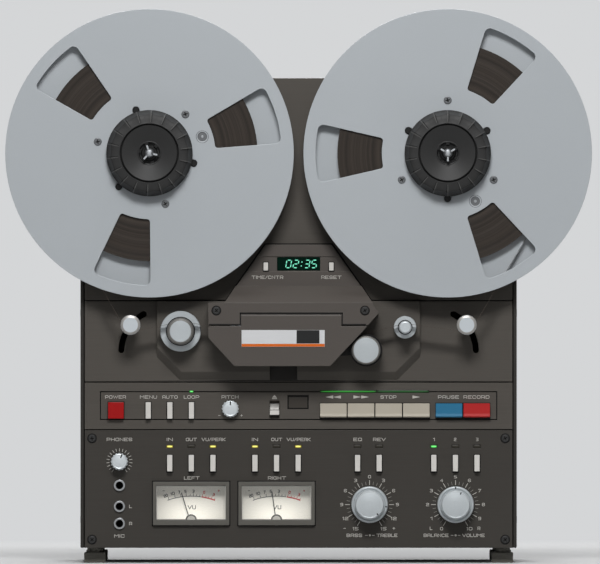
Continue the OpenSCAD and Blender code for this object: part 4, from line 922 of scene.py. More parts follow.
class Lettering:
    """Printed words and marks that lie on one face of the front."""

    sunk: ClassVar[float] = 0.02
    thick: ClassVar[float] = 0.07
    # Strokes of each sign on a grid of units, six high: x and z of each corner, strokes parted by a bar.
    signs: ClassVar[dict[str, str]] = {
        "A": "00 05 16 46 55 50|02 52", "B": "00 06 46 55 54 43 03|43 52 51 40 00",
        "C": "55 46 16 05 01 10 40 51", "D": "00 06 46 55 51 40 00", "E": "56 06 00 50|03 43",
        "F": "56 06 00|03 43", "G": "55 46 16 05 01 10 40 51 53 33", "H": "00 06|50 56|03 53", "I": "00 06",
        "K": "00 06|56 13 03|13 50", "L": "06 00 40", "M": "00 06 33 66 60", "N": "00 06 50 56",
        "O": "10 01 05 16 46 55 51 40 10", "P": "00 06 46 55 53 42 02",
        "Q": "10 01 05 16 46 55 51 40 10|31 50", "R": "00 06 46 55 53 42 02|32 50",
        "S": "55 46 16 05 04 13 43 52 51 40 10 01", "T": "06 66|36 30", "U": "06 01 10 40 51 56",
        "V": "06 30 66", "W": "06 20 45 60 86", "/": "00 36",
        "0": "10 01 05 16 36 45 41 30 10", "1": "05 16 10", "2": "05 16 36 45 44 33 13 02 00 40",
        "3": "06 36 45 44 33 13|33 42 41 30 00", "4": "30 36 02 42", "5": "46 06 03 33 42 41 30 00",
        "6": "45 36 16 05 01 10 30 41 42 33 03", "7": "06 46 10",
        "8": "13 04 05 16 36 45 44 33 13 02 01 10 30 41 42 33", "9": "00 30 41 45 36 16 05 04 13 43"}

    def __init__(self, depth: float, pen: float = 0.24) -> None:
        """Starts a print.

        Args:
            depth: Depth of the face that carries it, in millimetres.
            pen: Half the width of a stroke.
        """
        self.shape = Shape()
        self.depth = depth
        self.pen = pen

    def word(self, text: str, x: float, z: float, width: float, height: float = 3.0, turn: float = 0.0,
             coat: int = 0) -> "Lettering":
        """Prints a word that fills a given width and height.

        Args:
            text: The word.
            x: Its middle across.
            z: Its middle up.
            width: Its width.
            height: Its height.
            turn: Angle clockwise, in degrees.
            coat: Index of the ink.

        Returns:
            The same print.
        """
        lines, at, end = [], 0.0, 0.0
        for sign in text:
            drawn = [[(at + int(c[0]), float(c[1])) for c in line.split()]
                     for line in self.signs[sign].split("|")]
            lines += drawn
            end = max(u for line in drawn for u, _ in line)
            at = end + 1.9
        wide, tall = (width - 2 * self.pen) / max(end, 0.5), (height - 2 * self.pen) / 6
        co, si = math.cos(math.radians(turn)), math.sin(math.radians(turn))
        for line in lines:
            spots = [((u - end / 2) * wide, (v - 3) * tall) for u, v in line]
            self.stroke([(x + u * co + v * si, z - u * si + v * co) for u, v in spots], coat)
        return self

    def stroke(self, line: Sequence[Flat], coat: int = 0) -> None:
        """Draws one stroke with mitred corners and square ends.

        Args:
            line: Its corners; a line that ends where it starts is closed.
            coat: Index of the ink.
        """
        closed = line[0] == line[-1]
        spots = [Vector(p) for p in (line[:-1] if closed else line)]
        count, edges = len(spots), []
        for i, spot in enumerate(spots):
            ways = []
            if i > 0 or closed:
                ways.append((spot - spots[i - 1]).normalized())
            if i < count - 1 or closed:
                ways.append((spots[(i + 1) % count] - spot).normalized())
            sides = [Vector((-w.y, w.x)) for w in ways]
            lean = sides[0]
            if len(ways) == 1:
                spot = spot + ways[0] * self.pen * (1 if i else -1)
            else:
                lean = (sides[0] + sides[1]) / (1 + max(sides[0].dot(sides[1]), -0.5))
            edges.append([self.shape.spot(q.x, self.depth + self.sunk, q.y)
                          for q in (spot + lean * self.pen, spot - lean * self.pen)])
        for a, b in zip(edges, edges[1:] + edges[:1] if closed else edges[1:]):
            self.shape.skin((a[0], a[1], b[1], b[0]), coat)

    def mark(self, outline: Sequence[Flat], coat: int = 0) -> "Lettering":
        """Prints a flat mark of one outline."""
        self.shape.skin([self.shape.spot(x, self.depth + self.sunk, z) for x, z in outline], coat)
        return self

    def dot(self, x: float, z: float, radius: float, coat: int = 0) -> "Lettering":
        """Prints a round dot."""
        return self.mark([polar(radius, -30 * i, x, z) for i in range(12)], coat)

    def bar(self, x: float, z: float, width: float, height: float, coat: int = 0) -> "Lettering":
        """Prints a straight bar."""
        return self.mark(rectangle(x, z, width, height), coat)

    def arrow(self, x: float, z: float, width: float, height: float, coat: int = 0) -> "Lettering":
        """Prints a triangle that points right, or left where the width is negative."""
        tail = x - width / 2
        return self.mark([(tail, z - height / 2), (x + width / 2, z), (tail, z + height / 2)], coat)

    def piece(self, name: str, *inks: Finish) -> Object:
        """Gives the print a hair of thickness, towards the viewer, and makes the object.

        Args:
            name: The piece's name.
            inks: Finishes, in the order of the coats' numbers.

        Returns:
            The object, in the scene.
        """
        bm = self.shape.bm
        bmesh.ops.recalc_face_normals(bm, faces=bm.faces)
        bmesh.ops.reverse_faces(bm, faces=[f for f in bm.faces if f.normal.y > 0])
        made = bmesh.ops.extrude_face_region(bm, geom=list(bm.faces))
        back = [v for v in made["geom"] if isinstance(v, BMVert)]
        bmesh.ops.translate(bm, verts=back, vec=(0.0, -self.thick * MM, 0.0))
        return self.shape.piece(name, *inks, smooth=1.0)


def turned(obj: Object, angle: float) -> Object:
    """Turns a piece made on the front round the cabinet's upright middle line, to a side or the rear.

    Args:
        obj: The piece.
        angle: Angle in degrees, counterclockwise from above.

    Returns:
        The same piece.
    """
    middle = Matrix.Translation(place(0.0, MID_DEPTH, 0.0))
    obj.data.transform(middle @ Matrix.Rotation(math.radians(angle), 4, "Z") @ middle.inverted())
    return obj


def cross_screw(radius: float, rise: float) -> Shape:
    """Makes a screw head with a cross recess, round the origin.

    Args:
        radius: The head's radius.
        rise: Its height.

    Returns:
        The shape, with its seat at depth 0.
    """
    head = Shape()
    steps, arm, half = 24, radius * 0.58, radius * 0.15
    rims = []
    for r, d in ((radius, 0.0), (radius, -rise * 0.45), (radius * 0.94, -rise * 0.75), (radius * 0.8, -rise)):
        rims.append([head.spot(a, d, b) for a, b in (polar(r, -360 * i / steps) for i in range(steps))])
    head.join(rims)
    head.skin(list(reversed(rims[0])))
    plus = [(half, half), (half, arm), (-half, arm), (-half, half), (-arm, half), (-arm, -half),
            (-half, -half), (-half, -arm), (half, -arm), (half, -half), (arm, -half), (arm, half)]
    top = [head.spot(x, -rise, z) for x, z in plus]
    deep = [head.spot(x * 0.9, -rise * 0.25, z * 0.9) for x, z in plus]
    head.join([deep, top])
    head.skin(deep)
    for face in head.bm.faces:
        face.smooth = True
    edges = [head.bm.edges.get((rims[-1][i], rims[-1][(i + 1) % steps])) for i in range(steps)]
    edges += [head.bm.edges.get((top[i], top[(i + 1) % 12])) for i in range(12)]
    bmesh.ops.triangle_fill(head.bm, edges=edges, use_beauty=True)
    return head


def cross_mark(radius: float, rise: float) -> Shape:
    """Makes the near-black painted shade that fills a cross recess, round the origin.

    Args:
        radius: The head's radius.
        rise: Its height.

    Returns:
        The shape.
    """
    mark = Shape()
    arm, half = radius * 0.55, radius * 0.14
    for w, h in ((arm, half), (half, arm)):
        mark.slab(0.0, 0.0, 2 * w, 2 * h, -rise * 0.9, -rise * 0.3)
    return mark


@dataclass
class Case:
    """Cabinet, panels, feet and fasteners."""

    corner: float = 0.9
    half_w: float = 202.0
    panel_edge: float = 0.4
    notch: Flat = (-14.0, 175.2)
    screw_r: float = 3.7
    screw_rise: float = 1.4
    side_rise: float = 0.3
    seat_r: float = 4.6
    front_screws: tuple[Flat, ...] = tuple((x, z) for x in (-191.3, 191.3) for z in (21.6, 115.4))
    housing_screws: tuple[Flat, ...] = ((-76.0, 233.8), (61.3, 233.8))
    cover_screws: tuple[Flat, ...] = tuple((x, z) for x in (-190.0, 190.0) for z in (26.0, 231.5, 437.0))

    def build(self) -> None:
        """Dresses the outer pieces and what is hidden inside them."""
        eased("cabinet_shell", "deck", "cabinet", Paints.CABINET, self.corner)
        eased("rear_cover", "deck", "rear_cover", Paints.COVER, 0.5)
        eased("feet", "deck", "foot", Paints.FOOT, 0.8)
        eased("reel_deck_panel", "deck", "deck_panel", Paints.DECK, self.panel_edge)
        panel = Shape("transport_panel").ease(self.panel_edge)
        # The finger notch's faces take a darker paint that stands in for the shade inside it.
        panel.paint(1, lambda spot, _: abs(spot.x - self.notch[0]) < 12.9
                    and abs(spot.z - self.notch[1]) < 7.6 and -5.4 < spot.y < 1.0)
        fit(panel.piece("transport_panel_dress", Paints.DECK, Paints.FINGER), "deck", "deck_panel",
            "transport_panel")
        panel = Shape("control_panel").ease(0.06)
        # Faces inside the groove and the holes are painted near-black as shade.
        panel.paint(1, lambda spot, _: 0.1 < spot.y < 3.9 and abs(spot.x) < 190.0)
        fit(panel.piece("control_panel_dress", Paints.DECK, Paints.WELL), "deck", "deck_panel",
            "control_panel")
        eased("amplifier_panel", "deck", "amplifier_panel", Paints.AMPLIFIER, self.panel_edge)
        for node, finish in (("chassis_frame", Paints.FRAME), ("drive_motors", Paints.MOTOR),
                             ("drive_belt", Paints.RUBBER), ("circuit_boards", Paints.BOARD),
                             ("motor_pulley", Paints.BRASS)):
            dress_node(node, finish)
        self.screws()
        self.rear_print()

    def screws(self) -> None:
        """Sets cross-recess screws on the front, the head housing, the rear cover and the sides."""
        heads = [place(x, 0.0, z) for x, z in self.front_screws]
        heads += [place(x, -35.0, z) for x, z in self.housing_screws]
        backs = [place(x, 0.0, z) for x, z in self.cover_screws]
        sides = [place(u, MID_DEPTH - self.half_w, z) for u in (-84.0, 84.0) for z in (40.0, 231.5, 423.0)]
        for word, spots, angle, rise in (
                ("front", heads, 0.0, self.screw_rise), ("cover", backs, 180.0, self.screw_rise),
                ("right_side", sides, 90.0, self.side_rise), ("left_side", sides, -90.0, self.side_rise)):
            # A near-black disc round each screw head paints the shade round it, and the crosses are filled
            # with painted shade.
            ring = Shape()
            ring.lathe([(0.0, -0.06), (self.seat_r, -0.06), (self.seat_r, 0.2), (0.0, 0.2)], 0.0, 0.0, 32)
            stands_for = () if word.endswith("side") else ("panel_screws",)
            for what, shape, finish in (("screws", cross_screw(self.screw_r, rise), Paints.SCREW),
                                        ("screw_crosses", cross_mark(self.screw_r, rise), Paints.WELL),
                                        ("screw_seats", ring, Paints.WELL)):
                made = Repeats.lay(f"{word}_{what}", Repeats.spots(), shape, finish, spots, Seed=5)
                fit(turned(made, angle), "deck", "black_screw", *stands_for)

    def rear_print(self) -> None:
        """Prints the names of the rear sockets."""
        ink = Lettering(0.0)
        for text, x, z, width in (("IN", 15.0, 88.0, 6.0), ("OUT", 51.0, 88.0, 10.4), ("L", 6.0, 62.6, 2.6),
                                  ("R", 24.0, 62.6, 2.8), ("L", 42.0, 62.6, 2.6), ("R", 60.0, 62.6, 2.8),
                                  ("MAINS", -120.0, 70.0, 18.0)):
            ink.word(text, x, z, width)
        fit(turned(ink.piece("rear_print", Paints.INK), 180.0), "deck", "rear_cover")


@dataclass
class Reel:
    """One reel with its spindle, hub adapter and wound tape."""

    side: Side
    turn: float
    pack_r: float
    leave: float
    axis: Flat = (137.8, 379.2)
    front: float = -27.5
    hub_r: float = 57.15
    flutes: int = 18
    screw_ring: float = 49.03
    anchor_ring: float = 51.15
    anchor_at: float = 300.0

    def __post_init__(self) -> None:
        """Names the reel's nodes and its place."""
        self.word = self.side.name.lower()
        self.body = self.word + "_reel"
        self.x, self.z = self.side.value * self.axis[0], self.axis[1]

    def at(self, radius: float, angle: float) -> Flat:
        """Gives a point round the axis, by an angle on the reel before its turn."""
        return polar(radius, angle - self.turn, self.x, self.z)

    def build(self) -> None:
        """Builds the reel's pieces."""
        eased(self.word + "_reel_flanges", self.body, "reel", Paints.REEL, 0.25)
        self.spindle()
        hub = Shape(self.word + "_reel_hub")
        hub.drop_small(12.0)
        fit(hub.ease(0.3).piece(self.word + "_hub_dress", Paints.HUB), self.body, "reel",
            self.word + "_reel_hub")
        self.screws()
        self.pack()
        self.adapter()

    def spindle(self) -> None:
        """Turns the spindle: a shaft painted near-black as the shade in the adapter's recess, that ends in a
        bright knob with three prongs.
        """
        node, shape = self.word + "_spindle", Shape()
        shape.lathe([(0.0, -38.2), (7.0, -38.2), (7.5, -37.6), (7.5, -17.4), (0.0, -17.4)], self.x, self.z,
                    48)
        shape.lathe([(0.0, -47.9), (1.6, -47.7), (3.0, -46.9), (4.0, -45.4), (4.4, -43.2), (4.4, -38.0),
                     (0.0, -38.0)], self.x, self.z, 36, 1)
        prong = ((3.4, -18), (7.6, -8.2), (8.0, 0), (7.6, 8.2), (3.4, 18))
        for k in range(3):
            shape.prism([self.at(r, 60 - 120 * k + w) for r, w in reversed(prong)], -46.6, -42.0, 1)
        fit(shape.ease(0.3).piece(node + "_tip", Paints.ADAPTER_BLACK, Paints.STEEL), self.body, "steel",
            node)
        rear = Shape(node)
        for face in list(rear.bm.faces):
            if face.calc_center_median().y < FACE_Y - 17.3 * MM:
                rear.bm.faces.remove(face)
        bmesh.ops.holes_fill(rear.bm, edges=[e for e in rear.bm.edges if e.is_boundary])
        fit(rear.piece(node + "_dress", Paints.STEEL), self.body, "steel", node)

    def screws(self) -> None:
        """Sets three cross-recess screws through the front flange, and the tape anchor in its hole."""
        spots = [place(x, self.front, z) for x, z in (self.at(self.screw_ring, -120 * i) for i in range(3))]
        # The crosses are filled with near-black painted shade.
        for what, shape, finish in (("screws", cross_screw(3.7, 0.9), Paints.REEL_SCREW),
                                    ("screw_crosses", cross_mark(3.7, 0.9), Paints.NEEDLE)):
            made = Repeats.lay(f"{self.word}_reel_{what}", Repeats.spots(), shape, finish, spots, Seed=3)
            fit(made, self.body, "steel")
        anchor = Shape()
        x, z = self.at(self.anchor_ring, 90 - self.anchor_at)
        anchor.lathe([(0.0, -26.7), (4.3, -26.5), (4.3, -26.0), (0.0, -26.0)], x, z, 32)
        anchor.lathe([(4.2, -27.2), (5.7, -27.58), (5.9, -27.5), (5.7, -27.4), (4.2, -26.9)], x, z, 36,
                     loop=True)
        anchor.lathe([(0.0, -27.3), (0.9, -27.25), (1.4, -26.9), (1.4, -26.2), (0.0, -26.2)], x, z, 24, 1)
        fit(anchor.piece(self.word + "_tape_anchor", Paints.REEL_SCREW, Paints.STEEL), self.body, "reel")

    def pack(self) -> None:
        """Winds the tape: uneven layers on both faces and an outer turn that ends in a step."""
        steps, count, mid, half = 144, 46, -22.0, 3.175
        shape = Shape()
        spans = []
        for face in (-1, 1):
            for k in range(count):
                share = k / (count - 1) if face < 0 else 1 - k / (count - 1)
                uneven = 0.05 + 0.12 * (0.5 + 0.5 * math.sin(k * 12.9898 + face))
                spans.append((share, mid + face * (half - (0.0 if k in (0, count - 1) else uneven))))
        rings = []
        for i in range(steps):
            grow = i / (steps - 1) if self.side is Side.SUPPLY else 1 - i / (steps - 1)
            angle = math.radians(self.leave + 360 * i / steps)
            outer = self.pack_r - 0.25 * (1 - grow) - 0.01
            ring = []
            for share, d in spans:
                r = self.hub_r + 0.2 + (outer - self.hub_r - 0.2) * share
                ring.append((self.x + r * math.cos(angle), d, self.z + r * math.sin(angle)))
            rings.append(ring)
        shape.loft(rings, capped=False)
        finish = Film(self.word + "_tape_oxide", (44, 38, 33), centre=(self.x, self.z))
        fit(shape.piece(self.word + "_tape_winding", finish), self.body, "tape", self.word + "_tape_pack")

    def adapter(self) -> None:
        """Builds the hub adapter: a fluted grip ring, a sunk disc and three locking lugs."""
        parts = 8
        steps = self.flutes * parts
        foot = [(33.0, -16.6), (37.9, -16.6), (37.9, -27.6), (39.7, -27.6), (39.9, -28.0), (39.9, -33.4)]
        grip = [(39.5, -34.4, 0.5), (38.6, -37.6, 1.0), (37.4, -41.0, 1.0), (36.4, -43.6, 0.9),
                (34.8, -44.5, 0.7), (31.5, -45.0, 0.5), (28.6, -45.3, 0.25)]
        disc = [(27.6, -45.4), (27.2, -45.0), (27.2, -40.0), (25.8, -40.0), (25.8, -43.4), (25.3, -43.8),
                (18.0, -42.0), (11.2, -40.3), (10.6, -40.6), (10.0, -40.4), (9.2, -38.6), (8.9, -37.0),
                (7.7, -37.0), (7.7, -20.0), (33.0, -18.0)]
        rings = []
        for r, d, cut in [(*p, 0.0) for p in foot] + grip + [(*p, 0.0) for p in disc]:
            ring = []
            for i in range(steps):
                hollow = abs(math.sin(math.pi * i / parts + math.pi / 2)) ** 0.7
                x, z = self.at(r - cut * 0.9 * hollow, 90 - 360 * i / steps)
                ring.append((x, d + cut * 0.55 * hollow, z))
            rings.append(ring)
        shape = Shape()
        shape.loft(rings, capped=False)
        # The groove between ring and disc is painted near-black as shade, and the disc takes its own darker
        # plastic.
        for coat, near, far, front in ((2, 0.0, 27.3, -99.0), (1, 25.6, 27.3, -43.0)):
            shape.paint(coat, lambda spot, _: front < spot.y < -36.0
                        and near < math.hypot(spot.x - self.x, spot.z - self.z) < far)
        for k in range(3):
            shape.lathe([(0.0, -29.0), (2.7, -29.0), (3.15, -28.5), (3.15, -16.7), (0.0, -16.7)],
                        *self.at(41.9, 60 - 120 * k), 24, 1)
            # The key slots are painted near-black as the shade in them.
            for lean in (60 - 120 * k, 120 - 120 * k):
                outline = [self.at(r, lean + w) for r, w in ((10.3, -9), (10.3, 9), (7.8, 12), (7.8, -12))]
                shape.prism(outline, -40.3, -37.5, 1)
        coats = (Paints.ADAPTER, Paints.ADAPTER_BLACK, Paints.ADAPTER_DISC)
        fit(shape.piece(self.word + "_adapter_dress", *coats, smooth=24.0), self.body, "adapter",
            self.word + "_hub_adapter")
        # Lighter crest bars are worn edges and a painted highlight, and the near-black bars beside them are
        # painted shade.
        for word, finish, shift in (("ribs", Paints.ADAPTER_RIB, 0.0), ("slits", Paints.ADAPTER_BLACK, 1.6)):
            self.rib(word, finish, shift)

    def rib(self, word: str, finish: Finish, shift: float) -> None:
        """Lays thin bars across the grip ring, one at each ridge: lighter bars for worn crests that also
        serve as a painted highlight, or near-black bars beside them as painted shade.

        Args:
            word: Last word of the piece's name.
            finish: The bars' finish.
            shift: Angle from the ridge, in degrees.
        """
        rib = Shape()
        rib.loft([[(-w, d, z), (w, d, z), (w, d + 1.2, z - 0.6), (-w, d + 1.2, z - 0.6)]
                  for z, d, w in ((28.9, -45.42, 0.25), (34.8, -44.8, 0.45), (36.6, -43.8, 0.45),
                                  (38.8, -37.7, 0.45), (39.65, -34.4, 0.3))])
        ribs = Repeats.lay(f"{self.word}_adapter_{word}", Repeats.ring(), rib, finish, Count=self.flutes,
                           First=math.radians(90 - self.turn + 10 + shift), Step=math.tau / self.flutes,
                           Centre=place(self.x, 0.0, self.z))
        fit(ribs, self.body, "adapter")


@dataclass(frozen=True)
class Guide:
    """A round guide that the tape passes: its place, radius and the side it turns to."""

    x: float
    z: float
    radius: float
    sense: int


@dataclass
class TapePath:
    """Tension arms, rollers, capstan and the tape that runs past them."""

    thick: float = 0.25
    width: float = 6.35
    middle: float = -22.0
    lift: float = 0.275
    clear: float = 0.28
    guides: tuple[Guide, ...] = (
        Guide(-137.8, 379.2, 100.0, 1), Guide(-155.42, 220.495, 6.0, 1), Guide(-109.2, 214.6, 8.3, -1),
        Guide(-50.0, 223.547, 7.0, 1), Guide(-22.0, 220.652, 7.0, 1), Guide(8.0, 218.693, 7.0, 1),
        Guide(51.806, 213.702, 4.0, 1), Guide(62.4, 197.2, 15.0, -1), Guide(98.5, 218.3, 3.2, -1),
        Guide(155.42, 220.495, 6.0, 1), Guide(137.8, 379.2, 102.0, 1))
    ways: list[float] = field(default_factory=list)

    def __post_init__(self) -> None:
        """Finds the heading of each straight span, in degrees counterclockwise from the right."""
        for a, b in zip(self.guides, self.guides[1:]):
            dx, dz = b.x - a.x, b.z - a.z
            reach = math.hypot(dx, dz)
            drop = (b.radius + self.lift) * b.sense - (a.radius + self.lift) * a.sense
            self.ways.append(math.degrees(math.atan2(dz, dx) - math.asin(drop / reach)))

    def leave(self, side: Side) -> float:
        """Gives the angle at which the tape leaves a pack, in degrees."""
        return self.ways[0] - 90 if side is Side.SUPPLY else self.ways[-1] - 90

    def touch(self, index: int, way: float) -> Flat:
        """Finds where the tape's middle lies on a guide.

        Args:
            index: The guide's number.
            way: The tape's heading there.

        Returns:
            The point.
        """
        guide = self.guides[index]
        a = math.radians(way - 90 * guide.sense)
        r = guide.radius + self.lift
        return guide.x + r * math.cos(a), guide.z + r * math.sin(a)

    def wrap(self, index: int, share: tuple[float, float] = (0.0, 1.0)) -> list[tuple[Flat, float]]:
        """Follows the tape round a guide.

        Args:
            index: The guide's number.
            share: First and last share of the wrap.

        Returns:
            Points with the tape's heading at each.
        """
        guide = self.guides[index]
        first, last = self.ways[index - 1], self.ways[index]
        arc = guide.sense * (((last - first) * guide.sense) % 360)
        count = max(3, int(abs(arc) / 4))
        turns = [first + arc * (share[0] + (share[1] - share[0]) * i / count) for i in range(count + 1)]
        return [(self.touch(index, w), w) for w in turns]

    def straight(self, index: int, parts: int = 24) -> list[tuple[Flat, float]]:
        """Follows the tape from one guide to the next, ends left out.

        Args:
            index: The first guide's number.
            parts: How many steps the span has.

        Returns:
            Points with the tape's heading at each.
        """
        way = self.ways[index]
        a, b = Vector(self.touch(index, way)), Vector(self.touch(index + 1, way))
        return [(tuple(a.lerp(b, i / parts)), way) for i in range(1, parts)]

    def ribbon(self, name: str, path: Sequence[tuple[Flat, float]]) -> Object:
        """Makes a strip of tape along a path.

        Args:
            name: The piece's name.
            path: Points with the heading at each.

        Returns:
            The strip, not yet on a body.
        """
        shape, half = Shape(), self.thick / 2
        low, high = self.middle - self.width / 2, self.middle + self.width / 2
        rings = []
        for (x, z), way in path:
            nx, nz = -math.sin(math.radians(way)) * half, math.cos(math.radians(way)) * half
            rings.append([(x + nx, low, z + nz), (x + nx, high, z + nz),
                          (x - nx, high, z - nz), (x - nx, low, z - nz)])
        shape.loft(rings)
        return shape.piece(name, Paints.OXIDE)

    def build(self) -> None:
        """Builds the path's pieces."""
        self.tape()
        for word in ("supply", "takeup"):
            node = word + "_tension_arm"
            arm = Shape(node).ease(1.3, segments=1, ahead=-32.0).ease(0.25)
            # Leaning faces of the post caps take a darker metal as painted shade.
            arm.paint(1, lambda spot, normal: spot.y < -28.0 and -0.97 < normal.y < 0.5)
            fit(arm.piece(node + "_dress", Paints.CHROME, Paints.ARM_EDGE), word + "_arm", "chrome", node)
        self.rollers()
        eased("capstan_flywheel", "capstan", "steel", Paints.STEEL, 0.3)
        # The pinch arm is painted near-black to stand in for the shade that it sits in.
        dress_node("pinch_arm", Paints.DARK_STEEL)

    def tape(self) -> None:
        """Lays the tape: four spans from the packs past the arms, and the run past the heads."""
        a, b = self.wrap(1, (0.0, 0.5)), self.wrap(1, (0.5, 1.0))
        start = [(self.touch(0, self.ways[0]), self.ways[0])]
        spans = [("tape_from_supply", start + self.straight(0, 40) + a, "deck", "supply_arm", 0),
                 ("tape_after_supply_arm", b + self.straight(1) + self.wrap(2)[:1], "supply_arm", "deck", 1)]
        c, d = self.wrap(9, (0.0, 0.5)), self.wrap(9, (0.5, 1.0))
        end = [(self.touch(10, self.ways[9]), self.ways[9])]
        spans += [("tape_to_takeup_arm", self.wrap(8)[-1:] + self.straight(8) + c, "deck", "takeup_arm", 8),
                  ("tape_to_takeup", d + self.straight(9, 40) + end, "takeup_arm", "deck", 9)]
        for name, path, first, second, index in spans:
            piece = self.ribbon(name, path)
            near, far = (place(p[0], self.middle, p[1]) for p in (self.touch(index, self.ways[index]),
                                                                 self.touch(index + 1, self.ways[index])))
            if index == 0:
                near = near.lerp(far, self.clear)
            elif index == 9:
                far = far.lerp(near, self.clear)
            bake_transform(piece)
            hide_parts("tape_run")
            log.info("%s bends between %s and %s", name, first, second)
        middle: list[tuple[Flat, float]] = []
        for index in range(2, 9):
            middle += self.wrap(index)
            if index < 8:
                middle += self.straight(index, 12)
        fit(self.ribbon("tape_past_heads", middle), "deck", "tape", "tape_run")

    def rollers(self) -> None:
        """Turns the two guide rollers and the pinch roller."""
        # Near-black rings behind the caps paint the shade round them, and cap bevels take a darker metal as
        # painted shade.
        shade_ring = Paints.ADAPTER_BLACK
        self.roller("impedance_roller", "chrome", (-109.2, 214.6), 96, (
            ([(0.0, -32.4), (9.6, -32.4), (9.9, -32.2), (9.7, -31.8), (0.0, -31.8)], 0),
            ([(9.5, -32.1), (10.2, -32.15), (11.4, -31.4), (12.3, -30.2), (12.7, -28.8), (12.6, -28.0),
              (9.5, -28.0)], 2),
            ([(0.0, -28.2), (8.3, -28.2), (8.3, -16.03), (18.3, -16.03), (18.8, -15.5), (18.8, -8.5),
              (18.3, -8.0), (3.0, -8.0), (3.0, 15.9), (0.0, 15.9)], 0),
            ([(8.4, -16.3), (13.3, -16.3), (13.5, -16.2), (13.5, -15.9), (8.4, -15.9)], 1)),
            Paints.aluminium("impedance_roller_aluminium", -109.2, 214.6, 186), shade_ring, Paints.CAP_EDGE)
        self.roller("counter_roller", "chrome", (98.5, 218.3), 72, (
            ([(0.0, -32.3), (4.4, -32.3), (5.0, -32.1), (5.8, -31.2), (5.95, -30.6), (5.95, -28.0),
              (3.2, -28.0), (3.2, -16.03), (10.0, -16.03), (10.4, -15.6), (10.4, -8.4), (10.0, -8.0),
              (3.0, -8.0), (3.0, 15.9), (0.0, 15.9)], 0),
            ([(3.3, -16.3), (6.6, -16.3), (6.8, -16.2), (6.8, -15.9), (3.3, -15.9)], 1)),
            Paints.aluminium("counter_roller_aluminium", 98.5, 218.3, 196), shade_ring)
        self.roller("pinch_roller", "rubber", (62.4, 197.2), 72, (
            ([(3.4, -27.97), (14.2, -27.97), (15.0, -27.3), (15.0, -12.4), (14.2, -11.6), (3.4, -11.6)], 0),
            ([(0.0, -31.9), (6.0, -31.85), (11.5, -31.6), (11.7, -31.3), (0.0, -31.3)], 1),
            ([(11.4, -31.2), (11.9, -31.5), (12.5, -31.2), (13.2, -30.3), (13.4, -29.3), (13.4, -28.1),
              (11.4, -28.1)], 2)),
            Paints.RUBBER, Paints.aluminium("pinch_cap_aluminium", 62.4, 197.2, 184), Paints.CAP_EDGE)

    @staticmethod
    def roller(node: str, slot: str, axis: Flat, steps: int, turns: Sequence[tuple[Sequence[Flat], int]],
               *coats: Finish) -> None:
        """Turns one roller from solids and rings on the same axis.

        Args:
            node: The roller's node and body.
            slot: The record's material slot.
            axis: Place of its axis.
            steps: Faces round the axis.
            turns: Each profile, which makes a ring where it starts off the axis, and its coat.
            coats: The finishes.
        """
        shape = Shape()
        for profile, coat in turns:
            shape.lathe(profile, *axis, steps, coat, profile[0][0] > 0)
        fit(shape.piece(node + "_dress", *coats), node, slot, node)


